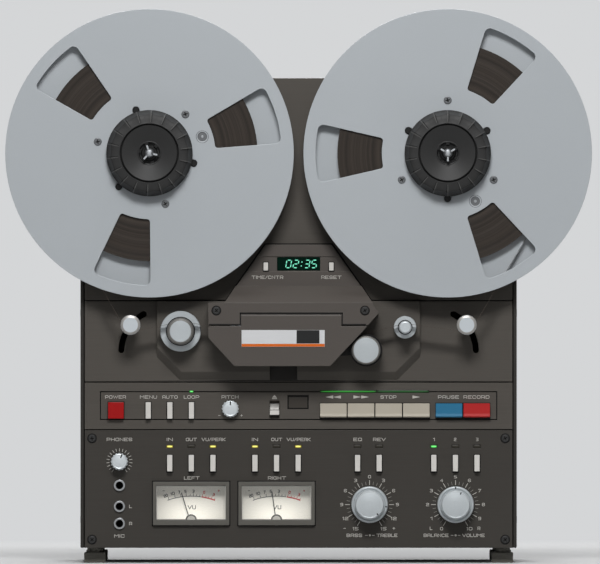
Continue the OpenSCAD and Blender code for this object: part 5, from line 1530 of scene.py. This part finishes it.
@dataclass
class HeadBlock:
    """Head housing, lifting flap, label plate, counter window and heads."""

    display_z: float = 276.9
    digit_h: float = 7.0
    digit_w: float = 4.4
    lean: float = 0.17
    segments: ClassVar[dict[str, str]] = {"0": "abcdef", "2": "abged", "3": "abgcd", "5": "afgcd"}

    def build(self) -> None:
        """Builds the block's pieces."""
        eased("head_housing", "deck", "deck_panel", Paints.HOUSING, 0.25)
        eased("head_cover", "head_cover", "deck_panel", Paints.HOUSING, 0.45)
        eased("tape_heads", "deck", "steel", Paints.HEAD, 0.3, 30.0)
        eased("counter_display", "deck", "display", Paints.DISPLAY, 0.2)
        eased("counter_buttons", "counter_buttons", "slim_button", Paints.SLIM, 0.3)
        # Near-black strips on the housing face paint the shade in the gaps round the flap.
        gaps = Shape()
        for x, z, w, h in ((-68.6, 221.0, 28.4, 1.0), (51.6, 221.0, 21.6, 1.0), (-53.9, 226.0, 1.0, 11.0),
                           (40.4, 226.0, 1.0, 11.0), (-6.75, 231.4, 95.3, 1.3)):
            gaps.slab(x, z, w, h, -35.03, -34.7)
        fit(gaps.piece("flap_gap", Paints.WELL), "head_cover", "deck_panel")
        # A near-black strip round the counter section paints the shade at its edge.
        seam = Shape()
        inner, outer = ([(-66.8 - g, 243.5), (-30.5 - g, 294.9 + g), (30.5 + g, 294.9 + g), (66.8 + g, 243.5)]
                        for g in (0.0, 1.1))
        seam.prism(inner + outer[::-1], -0.05, 0.3)
        fit(seam.piece("counter_seam", Paints.WELL), "deck", "deck_panel")
        self.label()
        self.digits()

    def label(self) -> None:
        """Lays the bare label plate on the flap."""
        plate = Shape()
        for x, z, width, height, coat in ((-27.35, 209.5, 50.7, 12.6, 0), (8.7, 209.5, 21.34, 12.6, 1),
                                          (21.75, 209.5, 4.7, 12.6, 0), (-14.3, 201.8, 76.8, 2.8, 2)):
            plate.slab(x, z, width, height, -35.5, -34.9, coat)
        coats = (Paints.PLATE_WHITE, Paints.PLATE_BLACK, Paints.PLATE_ORANGE)
        fit(plate.ease(0.15).piece("label_plate", *coats), "head_cover", "bezel")

    def digits(self) -> None:
        """Lights four leaning seven-bar digits and a colon."""
        shape = Shape()
        for x, sign in ((-9.2, "0"), (-2.5, "2"), (7.9, "3"), (14.4, "5")):
            for bar in self.segments[sign]:
                self.bar(shape, x, bar)
        for z in (-1.8, 1.8):
            self.bar(shape, 2.8, "", z)
        obj = shape.piece("counter_digits", Paints.DIGITS)
        level = obj.data.attributes.new("glow", "FLOAT", "POINT")
        level.data.foreach_set("value", [1.0] * len(obj.data.vertices))
        fit(obj, "deck", "display")

    def bar(self, shape: Shape, x: float, bar: str, z: float = 0.0) -> None:
        """Adds one bar of a digit, or a dot of the colon.

        Args:
            shape: The shape that takes it.
            x: The digit's middle.
            bar: The bar's letter, or nothing for a dot.
            z: Height of a dot over the digit's middle.
        """
        w, h, t = self.digit_w / 2, self.digit_h / 2, 0.45
        flat = [(-w + 0.7, 0), (-w + 1.1, t), (w - 1.1, t), (w - 0.7, 0), (w - 1.1, -t), (-w + 1.1, -t)]
        tall = [(0, h - 0.3), (t, h - 0.8), (t, 0.6), (0, 0.2), (-t, 0.6), (-t, h - 0.8)]
        shapes = {"a": [(p, q + h) for p, q in flat], "g": flat, "d": [(p, q - h) for p, q in flat],
                  "b": [(p + w, q) for p, q in tall], "f": [(p - w, q) for p, q in tall],
                  "c": [(p + w, -q) for p, q in tall], "e": [(p - w, -q) for p, q in tall],
                  "": rectangle(0.0, z, 1.0, 1.0)}
        shape.prism([(x + p + q * self.lean, self.display_z + q) for p, q in shapes[bar]], -7.62, -7.45)


def knob(node: str, profile: Sequence[Flat], x: float, z: float, ridges: int, ridge_r: float, ridge_at: float,
         depths: Flat, pointer: tuple[float, float, float, float], shade: int) -> None:
    """Builds a turned knob with a ridged grip and a pointer notch.

    Args:
        node: The CAD node and body.
        profile: Radius and depth of the turned blank, closed on itself if it has a bore.
        x: Axis across.
        z: Axis up.
        ridges: How many ridges go round.
        ridge_r: A ridge's radius.
        ridge_at: Radius at which a ridge is centred.
        depths: Front and rear of the ridges.
        pointer: The notch's angle, its inner and outer radius and the depth of the face.
        shade: Grey level of the aluminium.
    """
    bright = Paints.aluminium(node + "_aluminium", x, z, shade)
    blank = Shape()
    blank.lathe(profile, x, z, 72, loop=profile[0][0] > 0)
    angle, inner, outer, face = pointer
    half = math.degrees(0.55 / outer)
    wide = half * outer / inner
    outline = [polar(r, angle + w, x, z)
               for r, w in ((inner, -wide), (inner, wide), (outer, half), (outer, -half))]
    blank.prism(outline, face - 0.04, face + 1.2, 1)
    fit(blank.piece(node + "_dress", bright, Paints.NOTCH), node, "knob", node)
    ridge = Shape()
    ring = [(ridge_r * math.sin(t), ridge_at + ridge_r * math.cos(t))
            for t in (-1.5, -1.0, -0.5, 0.0, 0.5, 1.0, 1.5)]
    front, rear = depths
    ridge.loft([[(p * s, d, ridge_at + (q - ridge_at) * s) for p, q in ring]
                for d, s in ((front, 0.55), (front + 0.5, 1.0), (rear, 1.0))])
    made = Repeats.lay(node + "_grip", Repeats.ring(), ridge, bright, Count=ridges, First=0.0,
                       Step=math.tau / ridges, Centre=place(x, 0.0, z))
    fit(made, node, "knob")


def small_knob(node: str, x: float, z: float, out: float, angle: float) -> None:
    """Builds one of the two small knobs.

    Args:
        node: The CAD node and body.
        x: Axis across.
        z: Axis up.
        out: How far it stands out.
        angle: The pointer's angle.
    """
    cap = [(0.0, 0.0), (3.0, 0.1), (5.8, 0.55), (6.3, 0.35), (6.9, 0.55), (7.3, 1.15)]
    profile = [(r, d - out) for r, d in cap] + [(7.3, -0.5), (2.8, -0.5), (2.8, 12.0), (0.0, 12.0)]
    knob(node, profile, x, z, 16, 1.2, 6.8, (1.45 - out, -1.0), (angle, 3.2, 6.9, 0.2 - out), 206)


@dataclass
class ControlStrip:
    """Power and mode buttons, pitch knob, slide lever and transport keys."""

    key_w: float = 24.6
    key_h: float = 13.0
    key_z: float = 141.3
    key_out: float = 6.0
    legend_z: float = 153.7
    key_edge: float = 0.35
    mode_x: tuple[float, ...] = (-139.2, -119.2, -99.2)
    keys: tuple[tuple[str, float, str], ...] = (
        ("rewind_key", 32.2, "beige_key"), ("fast_forward_key", 57.8, "beige_key"),
        ("stop_key", 83.4, "beige_key"), ("play_key", 109.0, "beige_key"),
        ("pause_key", 139.3, "blue_key"), ("record_key", 164.9, "red_key"))

    def build(self) -> None:
        """Builds the strip's pieces."""
        eased("power_button", "power_button", "red_key", Paints.POWER_KEY, 0.5)
        eased("mode_buttons", "mode_buttons", "slim_button", Paints.SLIM, 0.3)
        lever = Shape("slide_lever").ease(0.35)
        # Faces that look up take a darker colour as painted shade.
        lever.paint(1, lambda spot, normal: normal.z > 0.15 and spot.y < 0.0)
        lever.slab(-22.3, 142.4, 9.5, 24.0, 4.3, 4.8, 2)
        fit(lever.piece("slide_lever_dress", Paints.SLIM, Paints.CAP_EDGE, Paints.RECESS), "slide_lever",
            "knob", "slide_lever")
        for node, x, slot in self.keys:
            self.key(node, x, slot)
        small_knob("pitch_knob", -63.2, 142.8, 7.95, 0.0)
        # The near-black plate round the dark pane is painted shade in the window's recess.
        window = Shape()
        window.slab(-0.5, 149.0, 19.5, 12.9, 1.35, 1.65, 1)
        window.slab(-0.5, 148.6, 17.2, 9.9, 1.0, 1.5)
        fit(window.ease(0.1).piece("dark_window_pane", Paints.RECESS, Paints.WELL), "deck", "display")
        self.wells()
        self.legends()

    def wells(self) -> None:
        """Paints near-black shade round the holes of the buttons and keys, and a painted shadow under the
        keys.
        """
        shape = Shape()
        slim = [(x, Amplifier.button_z) for _, places in Amplifier.banks for x in places]
        slim += [(x, self.key_z) for x in self.mode_x]
        for x, z in slim:
            shape.slab(x, z - 0.4, 6.5, 17.2, -0.04, 0.4)
        shape.slab(-169.1, self.key_z, 15.8, 16.4, -0.04, 0.4)
        # The rims of the key rows reach below the keys as a painted shadow.
        for first, last in ((19.5, 121.7), (126.6, 177.6)):
            shape.slab((first + last) / 2, 140.8, last - first, 15.2, -0.04, 0.4)
        for x in (-30.3, 30.3):
            shape.slab(x, 274.3, 5.6, 9.2, -8.04, -7.7)
        fit(shape.piece("button_wells", Paints.WELL), "deck", "deck_panel")

    def key(self, node: str, x: float, slot: str) -> None:
        """Builds a key whose sunk face runs out to a lip along its lower edge.

        Args:
            node: The key's node and body.
            x: Its middle across.
            slot: The record's material slot.
        """
        low, high, out = self.key_z - self.key_h / 2, self.key_z + self.key_h / 2, self.key_out
        side = [(5.4, low), (-out + 2.0, low), (-out + 0.1, low + 0.8), (-out, low + 1.1),
                (-out + 1.35, low + 3.5), (-out + 1.4, low + 3.9), (-out + 1.0, high - 0.4),
                (-out + 1.3, high), (5.4, high)]
        shape = Shape()
        rings = []
        half, edge = self.key_w / 2, self.key_edge
        for at, shrink in ((-half, edge), (-half + edge, 0.0), (half - edge, 0.0), (half, edge)):
            rings.append([(x + at, d + (shrink if d < 0 else 0.0), z + shrink * (1 if z < self.key_z else -1))
                          for d, z in side])
        shape.loft(rings)
        finish = {"beige_key": Paints.KEY, "blue_key": Paints.BLUE_KEY, "red_key": Paints.RED_KEY}[slot]
        fit(shape.piece(node + "_dress", finish), node, slot, node)

    def legends(self) -> None:
        """Prints the names and signs over the controls."""
        z = self.legend_z
        ink = Lettering(0.0)
        for text, x, width in (("POWER", -169.5, 19.4), ("MENU", -139.0, 15.7), ("AUTO", -119.1, 14.2),
                               ("LOOP", -99.2, 14.2), ("PITCH", -63.5, 15.7), ("STOP", 83.2, 14.8),
                               ("PAUSE", 138.8, 19.4), ("RECORD", 164.7, 24.0)):
            ink.word(text, x, z, width)
        for x, w in ((35.6, -7.2), (28.4, -7.2), (54.4, 7.2), (61.6, 7.2), (109.0, 7.0)):
            ink.arrow(x, z, w, 2.9)
        ink.mark([(-24.6, z - 0.6), (-20.0, z - 0.6), (-22.3, z + 1.9)]).bar(-22.3, z - 1.5, 4.6, 0.8)
        ink.bar(-73.4, 136.6, 2.0, 0.5).bar(-52.8, 136.6, 2.0, 0.5).bar(-52.8, 136.6, 0.5, 2.0)
        fit(ink.piece("control_strip_print", Paints.INK), "deck", "deck_panel")


@dataclass
class MeterPair:
    """Two level meters with printed scales, needles and glass."""

    centres: tuple[float, float] = (-99.5, -20.4)
    window_z: float = 55.8
    window_w: float = 65.3
    window_h: float = 32.2
    bezel: Point = (55.1, 70.8, 40.3)
    dial_d: float = 8.5
    scale_r: float = 64.3
    scale_top: float = 61.8
    chord: float = 44.1

    def build(self) -> None:
        """Builds both meters."""
        eased("meter_bezels", "deck", "bezel", Paints.BEZEL, 0.5)
        for word in ("left", "right"):
            dress_node(word + "_meter_needle", Paints.NEEDLE)
        dials, marks = Shape("meter_dials"), Lettering(self.dial_d, 0.32)
        dials.drop_small(6.0)
        low = self.window_z - self.window_h / 2
        faces = [DialFace(f"dial_paper_{i}", (206, 202, 192), 0.6, grain=0.12, bump=0.0, centre=(x, low))
                 for i, x in enumerate(self.centres)]
        dials.paint(1, lambda spot, _: spot.x > sum(self.centres) / 2)
        fit(dials.piece("meter_dials_dress", *faces), "deck", "dial", "meter_dials")
        domes, panes = Shape(), Shape()
        for x in self.centres:
            self.scale(marks, x)
            domes.lathe([(0.0, -2.75), (2.4, -2.7), (4.2, -2.45), (5.2, -2.0), (5.2, -1.3), (0.0, -1.3)], x,
                        low + 0.2, 48)
            panes.slab(x, self.window_z, self.window_w - 0.4, self.window_h - 0.4, -3.2, -2.9)
            self.border(domes, x, self.window_z, self.window_w - 1.0, self.window_h - 1.0, (-2.4, -0.3), 1)
            # A near-black frame round each bezel paints the shade at its edge.
            self.border(domes, x, self.bezel[0], self.bezel[1] + 0.8, self.bezel[2] + 0.8, (-0.06, 0.3), 2)
        fit(marks.piece("meter_scales", Paints.DARK_INK, Paints.RED_INK), "deck", "dial")
        fit(domes.piece("meter_domes", Paints.DOME, Paints.TRIM, Paints.WELL), "deck", "bezel")
        fit(panes.piece("meter_panes", Paints.GLASS), "deck", "dial")

    @staticmethod
    def border(shape: Shape, x: float, z: float, width: float, height: float, depths: Flat,
               coat: int) -> None:
        """Lays four bars round a meter's window or bezel.

        Args:
            shape: The shape that takes them.
            x: The middle across.
            z: The middle up.
            width: Width between the middles of the upright bars.
            height: Height between the middles of the level bars.
            depths: Front and rear of the bars.
            coat: Index of their finish.
        """
        for side in (-0.5, 0.5):
            shape.slab(x + side * width, z, 1.0, height + 1.0, *depths, coat)
            shape.slab(x, z + side * height, width + 1.0, 1.0, *depths, coat)

    def scale(self, marks: Lettering, x: float) -> None:
        """Prints one meter's arc, ticks and numbers.

        Args:
            marks: The print that takes them.
            x: The meter's middle.
        """
        zc, half = self.scale_top - self.scale_r, math.degrees(math.asin(self.chord / 2 / self.scale_r))

        def arc(first: float, last: float, inner: float, outer: float, coat: int, parts: int = 12) -> None:
            """Prints a stretch of a ring.

            Args:
                first: Angle at its start.
                last: Angle at its end.
                inner: Its inner radius.
                outer: Its outer radius.
                coat: Index of the ink.
                parts: How many straight parts it has.
            """
            turns = [first + (last - first) * i / parts for i in range(parts + 1)]
            rim = [polar(outer, t, x, zc) for t in turns]
            marks.mark(rim + [polar(inner, t, x, zc) for t in reversed(turns)], coat)

        zero, slim = half * 0.42, math.degrees(0.24 / self.scale_r)
        arc(-half, zero - 0.4, self.scale_r - 0.35, self.scale_r + 0.35, 0)
        arc(zero, half, self.scale_r - 0.6, self.scale_r + 0.6, 1)
        for share, tall in ((-0.93, 2.6), (-0.66, 2.6), (-0.42, 2.6), (-0.2, 2.6), (-0.04, 1.9), (0.09, 2.6),
                            (0.22, 1.9), (0.35, 1.9), (0.46, 2.7), (0.6, 1.9), (0.72, 1.9), (0.84, 2.7),
                            (0.97, 1.9)):
            at, red = share * half, int(share * half > zero)
            arc(at - slim, at + slim, self.scale_r, self.scale_r + tall, red, 1)
        for text, share, coat in (("20", -1.0, 0), ("10", -0.72, 0), ("7", -0.46, 0), ("5", -0.22, 0),
                                  ("3", 0.09, 0), ("0", 0.5, 1), ("3", 0.88, 1)):
            spot = polar(self.scale_r + 4.6, share * half, x, zc)
            marks.word(text, *spot, 2.0 * len(text), 2.9, share * half, coat)
        marks.word("VU", x + 0.5, 51.5, 7.6, 3.7)
        marks.bar(x - 25.5, 66.8, 2.0, 0.5).bar(x + 25.5, 66.8, 2.0, 0.5, 1).bar(x + 25.5, 66.8, 0.5, 2.0, 1)


@dataclass
class Amplifier:
    """Lamps, channel buttons, dual knobs, phones knob, sockets and their print."""

    lamp_z: float = 107.9
    button_z: float = 92.5
    dials: tuple[float, float] = (65.7, 145.3)
    dial_z: float = 54.1
    phones: Flat = (-165.9, 94.0)
    jacks: tuple[float, ...] = (71.9, 52.4, 36.5)
    name_z: float = 114.4
    foot_z: float = 25.6
    banks: tuple[tuple[str, tuple[float, ...]], ...] = (
        ("left_channel_buttons", (-119.3, -99.3, -79.3)), ("right_channel_buttons", (-40.4, -20.4, -0.4)),
        ("output_buttons", (54.6, 74.6, 125.2, 145.2, 165.2)))
    lit: ClassVar[dict[float, Lamp]] = {-119.3: Lamp.YELLOW, -79.3: Lamp.YELLOW, -40.4: Lamp.YELLOW,
                                        -0.4: Lamp.YELLOW, 125.2: Lamp.GREEN}

    def build(self) -> None:
        """Builds the panel's pieces."""
        for node, _ in self.banks:
            eased(node, node, "slim_button", Paints.SLIM, 0.3)
        self.lamps()
        self.knobs()
        self.sockets()
        self.legends()

    def lamps(self) -> None:
        """Sets a crowned lens in each lamp's hole, and the long bar over the keys."""
        shape = Shape()
        levels: list[float] = []

        def lens(x: float, z: float, width: float, height: float, front: float, state: Lamp) -> None:
            """Adds one lens, brightest in its middle.

            Args:
                x: Its middle across.
                z: Its middle up.
                width: Its width.
                height: Its height.
                front: Depth of its crown.
                state: How it is lit.
            """
            coat, rings = state.value, []
            for inset, square, d, level in ((0.0, 0.3, 3.8, 0.0), (0.0, 0.3, front + 0.25, 0.02),
                                            (0.3, 0.4, front + 0.1, 0.05), (0.6, 0.7, front + 0.05, 0.3),
                                            (0.9, 0.9, front + 0.02, 0.8), (1.2, 1.0, front, 1.0)):
                w, h = width / 2 - inset * 1.2, max(height / 2 - inset, 0.1)
                flat = [(w * math.copysign(abs(math.cos(t)) ** square, math.cos(t)),
                         h * math.copysign(abs(math.sin(t)) ** square, math.sin(t)))
                        for t in (math.tau * (i + 0.5) / 16 for i in range(16))]
                rings.append([(x + p, d, z + q) for p, q in flat])
                levels.extend([level] * 16)
            shape.loft(rings, coat)

        for _, places in self.banks:
            for x in places:
                lens(x, self.lamp_z, 6.4, 2.8, -0.4, self.lit.get(x, Lamp.DARK))
        lens(-99.2, 158.8, 4.4, 2.4, -0.2, Lamp.GREEN)
        for first, last, state in ((19.8, 72.3, Lamp.BAR), (72.6, 120.8, Lamp.DIM)):
            lens((first + last) / 2, 158.8, last - first, 2.4, -0.2, state)
        obj = shape.piece("indicator_lenses", *(Paints.LAMPS[s] for s in Lamp))
        glow = obj.data.attributes.new("glow", "FLOAT", "POINT")
        glow.data.foreach_set("value", levels)
        fit(obj, "deck", "lamp", "indicator_lamps")

    def knobs(self) -> None:
        """Builds the two dual knobs and the phones knob."""
        outer = [(4.6, -9.3), (14.2, -9.3), (14.8, -9.7), (15.8, -9.8), (16.5, -9.4), (16.9, -8.7),
                 (16.9, -0.6), (6.0, -0.6), (4.6, -0.6)]
        inner = [(0.0, -20.8), (4.0, -20.75), (8.0, -20.5), (11.4, -20.0), (11.7, -20.1), (12.4, -20.0),
                 (12.9, -19.5), (13.1, -18.7), (13.1, -10.5), (4.2, -10.5), (4.2, 12.0), (0.0, 12.0)]
        for x, ring, cap, notch, mark in ((self.dials[0], "bass_ring", "treble_knob", 97.0, 140.0),
                                          (self.dials[1], "balance_ring", "volume_knob", 0.0, 24.0)):
            knob(ring, outer, x, self.dial_z, 60, 0.45, 16.6, (-8.4, -1.0), (notch, 14.6, 16.6, -9.75), 186)
            knob(cap, inner, x, self.dial_z, 16, 1.3, 12.25, (-18.6, -11.0), (mark, 9.8, 12.6, -20.1), 192)
        small_knob("phones_knob", *self.phones, 10.95, 20.0)

    def sockets(self) -> None:
        """Dresses the jack sockets."""
        shape = Shape("jack_sockets").ease(0.3)
        for height in self.jacks:
            shape.paint(1, lambda spot, _: spot.y < 80.0
                        and math.hypot(spot.x - self.phones[0], spot.z - height) < 3.6)
        fit(shape.piece("jack_sockets_dress", Paints.NUT, Paints.BORE), "deck", "steel", "jack_sockets")

    def legends(self) -> None:
        """Prints the scales, names and numbers of the panel."""
        bold, faint = (0.6, -0.07, Paints.INK), (0.42, -0.05, Paints.FAINT_INK)
        for word, x, z, inner, outer, count, first, step, style in (
                ("tone", self.dials[0], self.dial_z, 18.2, 22.6, 11, -150, 30, bold),
                ("tone_fine", self.dials[0], self.dial_z, 18.2, 21.4, 31, -150, 10, faint),
                ("volume", self.dials[1], self.dial_z, 18.2, 22.6, 11, -150, 30, bold),
                ("volume_fine", self.dials[1], self.dial_z, 18.2, 21.4, 31, -150, 10, faint),
                ("phones", *self.phones, 9.3, 12.1, 19, -144, 16, (0.45, -0.05, Paints.INK))):
            tick = Shape()
            tick.slab(0.0, (inner + outer) / 2, style[0], outer - inner, style[1], 0.02)
            ticks = Repeats.lay(word + "_ticks", Repeats.ring(), tick, style[2], Count=count,
                                First=math.radians(first), Step=math.radians(step), Centre=place(x, 0.0, z))
            fit(ticks, "deck", "amplifier_panel")
        ink = Lettering(0.0)
        for z, words in (
                (self.name_z, (("PHONES", -165.9, 23.6), ("IN", -119.3, 5.6), ("OUT", -99.3, 10.2),
                               ("VU/PEAK", -78.8, 22.2), ("IN", -40.4, 5.6), ("OUT", -20.2, 10.2),
                               ("VU/PEAK", 0.0, 22.2), ("EQ", 54.7, 7.9), ("REV", 74.8, 11.6),
                               ("1", 125.3, 1.6), ("2", 145.0, 2.2), ("3", 165.4, 2.2))),
                (78.7, (("LEFT", -98.9, 14.4), ("RIGHT", -20.0, 16.7))),
                (self.jacks[1], (("L", -155.6, 2.6),)), (self.jacks[2], (("R", -155.6, 2.8),)),
                (25.0, (("MIC", -165.9, 9.7),)), (32.1, (("L", 122.7, 2.4), ("R", 167.0, 2.6))),
                (self.foot_z, (("BASS", 51.6, 14.4), ("TREBLE", 81.8, 19.4), ("BALANCE", 127.3, 23.1),
                               ("VOLUME", 161.9, 20.8)))):
            for text, x, width in words:
                ink.word(text, x, z, width)
        ink.bar(42.6, 32.1, 2.2, 0.5).bar(88.2, 32.1, 2.2, 0.5).bar(88.2, 32.1, 0.5, 2.2)
        for x, mid, numbers in ((self.dials[0], 66.0, (15, 12, 9, 6, 3, 0, 3, 6, 9, 12, 15)),
                                (self.dials[1], 145.4, range(11))):
            for i, number in enumerate(numbers):
                width = 1.8 if number == 1 else 2.7 * len(str(number))
                ink.word(str(number), *polar(25.8, -150 + 30 * i, x, self.dial_z), width)
            ink.dot(mid, self.foot_z, 1.0)
            ink.bar(mid - 3.2, self.foot_z, 2.4, 0.5).bar(mid + 3.2, self.foot_z, 2.4, 0.5)
        fit(ink.piece("amplifier_print", Paints.INK), "deck", "amplifier_panel")
        ink = Lettering(-8.0)
        ink.word("TIME/CNTR", -28.8, 264.6, 29.2).word("RESET", 30.3, 264.6, 18.8)
        fit(ink.piece("counter_print", Paints.INK), "deck", "deck_panel")


@dataclass
class Studio:
    """Floor, soft light and camera."""

    middle: Flat = (1.3, 260.2)
    frame_width: float = 555.6
    far: float = 15.0
    background: tuple[float, ...] = (0.66, 0.67, 0.68, 1.0)

    def build(self) -> None:
        """Sets up what surrounds the recorder."""
        bpy.context.scene.view_settings.view_transform = "Standard"
        self.floor()
        self.world()
        self.lamp("key_softbox", (0.0, -1.95, 1.76), (0.0, -0.08, 0.27), 0.9, 47.5)
        self.lamp("top_softbox", (0.0, -0.3, 2.4), (0.0, -0.05, 0.4), 1.2, 9.0)
        self.lamp("back_softbox", (0.0, 1.9, 1.7), (0.0, 0.13, 0.25), 1.2, 38.0)
        self.camera()

    def floor(self) -> None:
        """Lays a pale floor that fades into the background away from the recorder."""
        across, near, behind = 1.3, -0.5, 1.3
        corners = [(-across, near, 0.0), (across, near, 0.0), (across, behind, 0.0), (-across, behind, 0.0)]
        mesh = bpy.data.meshes.new("floor")
        mesh.from_pydata(corners, [], [(0, 1, 2, 3)])
        paper = Finish("floor_paper", (206, 207, 208), 0.9, grain=0.02, bump=0.0, specular=0.05).material()
        sheet = NodeSheet(paper.node_tree)
        card = paper.node_tree.nodes["Principled BSDF"].outputs[0]
        middle = (0.0, -(near + behind) / 2, 0.0)
        spot = sheet.vector("ADD", sheet.add("ShaderNodeTexCoord").outputs["Object"], middle)
        away = sheet.vector("DIVIDE", sheet.vector("ABSOLUTE", spot), (across, (behind - near) / 2, 1.0))
        axes = sheet.add("ShaderNodeSeparateXYZ", {0: away}).outputs
        far = sheet.ramp(sheet.math("MAXIMUM", axes[0], axes[1]), 0.4, 0.98)
        haze = sheet.add("ShaderNodeEmission", {"Color": self.background, "Strength": 1.0}).outputs[0]
        seen = sheet.add("ShaderNodeLightPath").outputs["Is Camera Ray"]
        both = sheet.add("ShaderNodeMixShader", {0: sheet.math("MULTIPLY", far, seen), 1: card, 2: haze})
        sheet.tree.links.new(both.outputs[0], paper.node_tree.nodes["Material Output"].inputs["Surface"])
        mesh.materials.append(paper)
        show("floor", mesh, 60.0)

    def world(self) -> None:
        """Lights the scene from all round, and shows a pale room in metal and glass."""
        world = bpy.data.worlds.new("room")
        world.use_nodes = True
        world.node_tree.nodes.clear()
        sheet = NodeSheet(world.node_tree)
        path = sheet.add("ShaderNodeLightPath").outputs
        way = sheet.add("ShaderNodeTexCoord").outputs["Generated"]
        axes = sheet.add("ShaderNodeSeparateXYZ", {0: way}).outputs
        sky = sheet.mix(sheet.ramp(axes[2], -0.3, 0.5), (0.06, 0.06, 0.06, 1.0), (1.0, 0.99, 0.97, 1.0))
        around = sheet.add("ShaderNodeBackground", {"Color": sky, "Strength": 0.12})
        ahead = sheet.math("MAXIMUM", sheet.ramp(axes[1], -0.55, -0.97), sheet.ramp(axes[2], 0.35, 0.8))
        mirror = sheet.mix(ahead, (0.16, 0.16, 0.16, 1.0), (0.86, 0.87, 0.88, 1.0))
        shown = sheet.mix(path["Is Camera Ray"], mirror, self.background)
        room = sheet.add("ShaderNodeBackground", {"Color": shown, "Strength": 1.0})
        seen = sheet.math("MAXIMUM", path["Is Camera Ray"],
                          sheet.math("MAXIMUM", path["Is Glossy Ray"], path["Is Transmission Ray"]))
        both = sheet.add("ShaderNodeMixShader", {0: seen, 1: around.outputs[0], 2: room.outputs[0]})
        sheet.add("ShaderNodeOutputWorld", {"Surface": both.outputs[0]})
        bpy.context.scene.world = world

    def lamp(self, name: str, spot: Point, aim: Point, size: float,
             power: float) -> None:
        """Hangs one soft lamp.

        Args:
            name: Its name.
            spot: Its place.
            aim: Where it looks.
            size: Width of its face.
            power: Its power in watts.
        """
        data = bpy.data.lights.new(name, "AREA")
        data.shape, data.size, data.size_y, data.energy = "RECTANGLE", size, size * 0.6, power
        obj = bpy.data.objects.new(name, data)
        obj.location = spot
        obj.rotation_euler = (Vector(aim) - Vector(spot)).to_track_quat("-Z", "Y").to_euler()
        obj.visible_camera = False
        bpy.context.scene.collection.objects.link(obj)

    def camera(self) -> None:
        """Looks straight at the front from far away, across a frame of the set width."""
        data = bpy.data.cameras.new("camera")
        data.sensor_width, data.sensor_fit = 36.0, "HORIZONTAL"
        data.lens = 36.0 * self.far / (self.frame_width * MM)
        data.clip_end = 100.0
        obj = bpy.data.objects.new("camera", data)
        obj.location = (self.middle[0] * MM, FACE_Y - self.far, self.middle[1] * MM)
        obj.rotation_euler = (math.pi / 2, 0.0, 0.0)
        bpy.context.scene.collection.objects.link(obj)
        bpy.context.scene.camera = obj


def main() -> None:
    """Builds the recorder's looks in order."""
    logging.basicConfig(level=logging.INFO, format="%(name)s: %(message)s")
    Studio().build()
    path = TapePath()
    parts = (Case(), Reel(Side.SUPPLY, 77.4, 100.0, path.leave(Side.SUPPLY)),
             Reel(Side.TAKEUP, 0.0, 102.0, path.leave(Side.TAKEUP)), path, HeadBlock(), ControlStrip(),
             MeterPair(), Amplifier())
    for part in parts:
        part.build()
        log.info("%s is dressed", type(part).__name__)


if __name__ == "__main__":
    main()
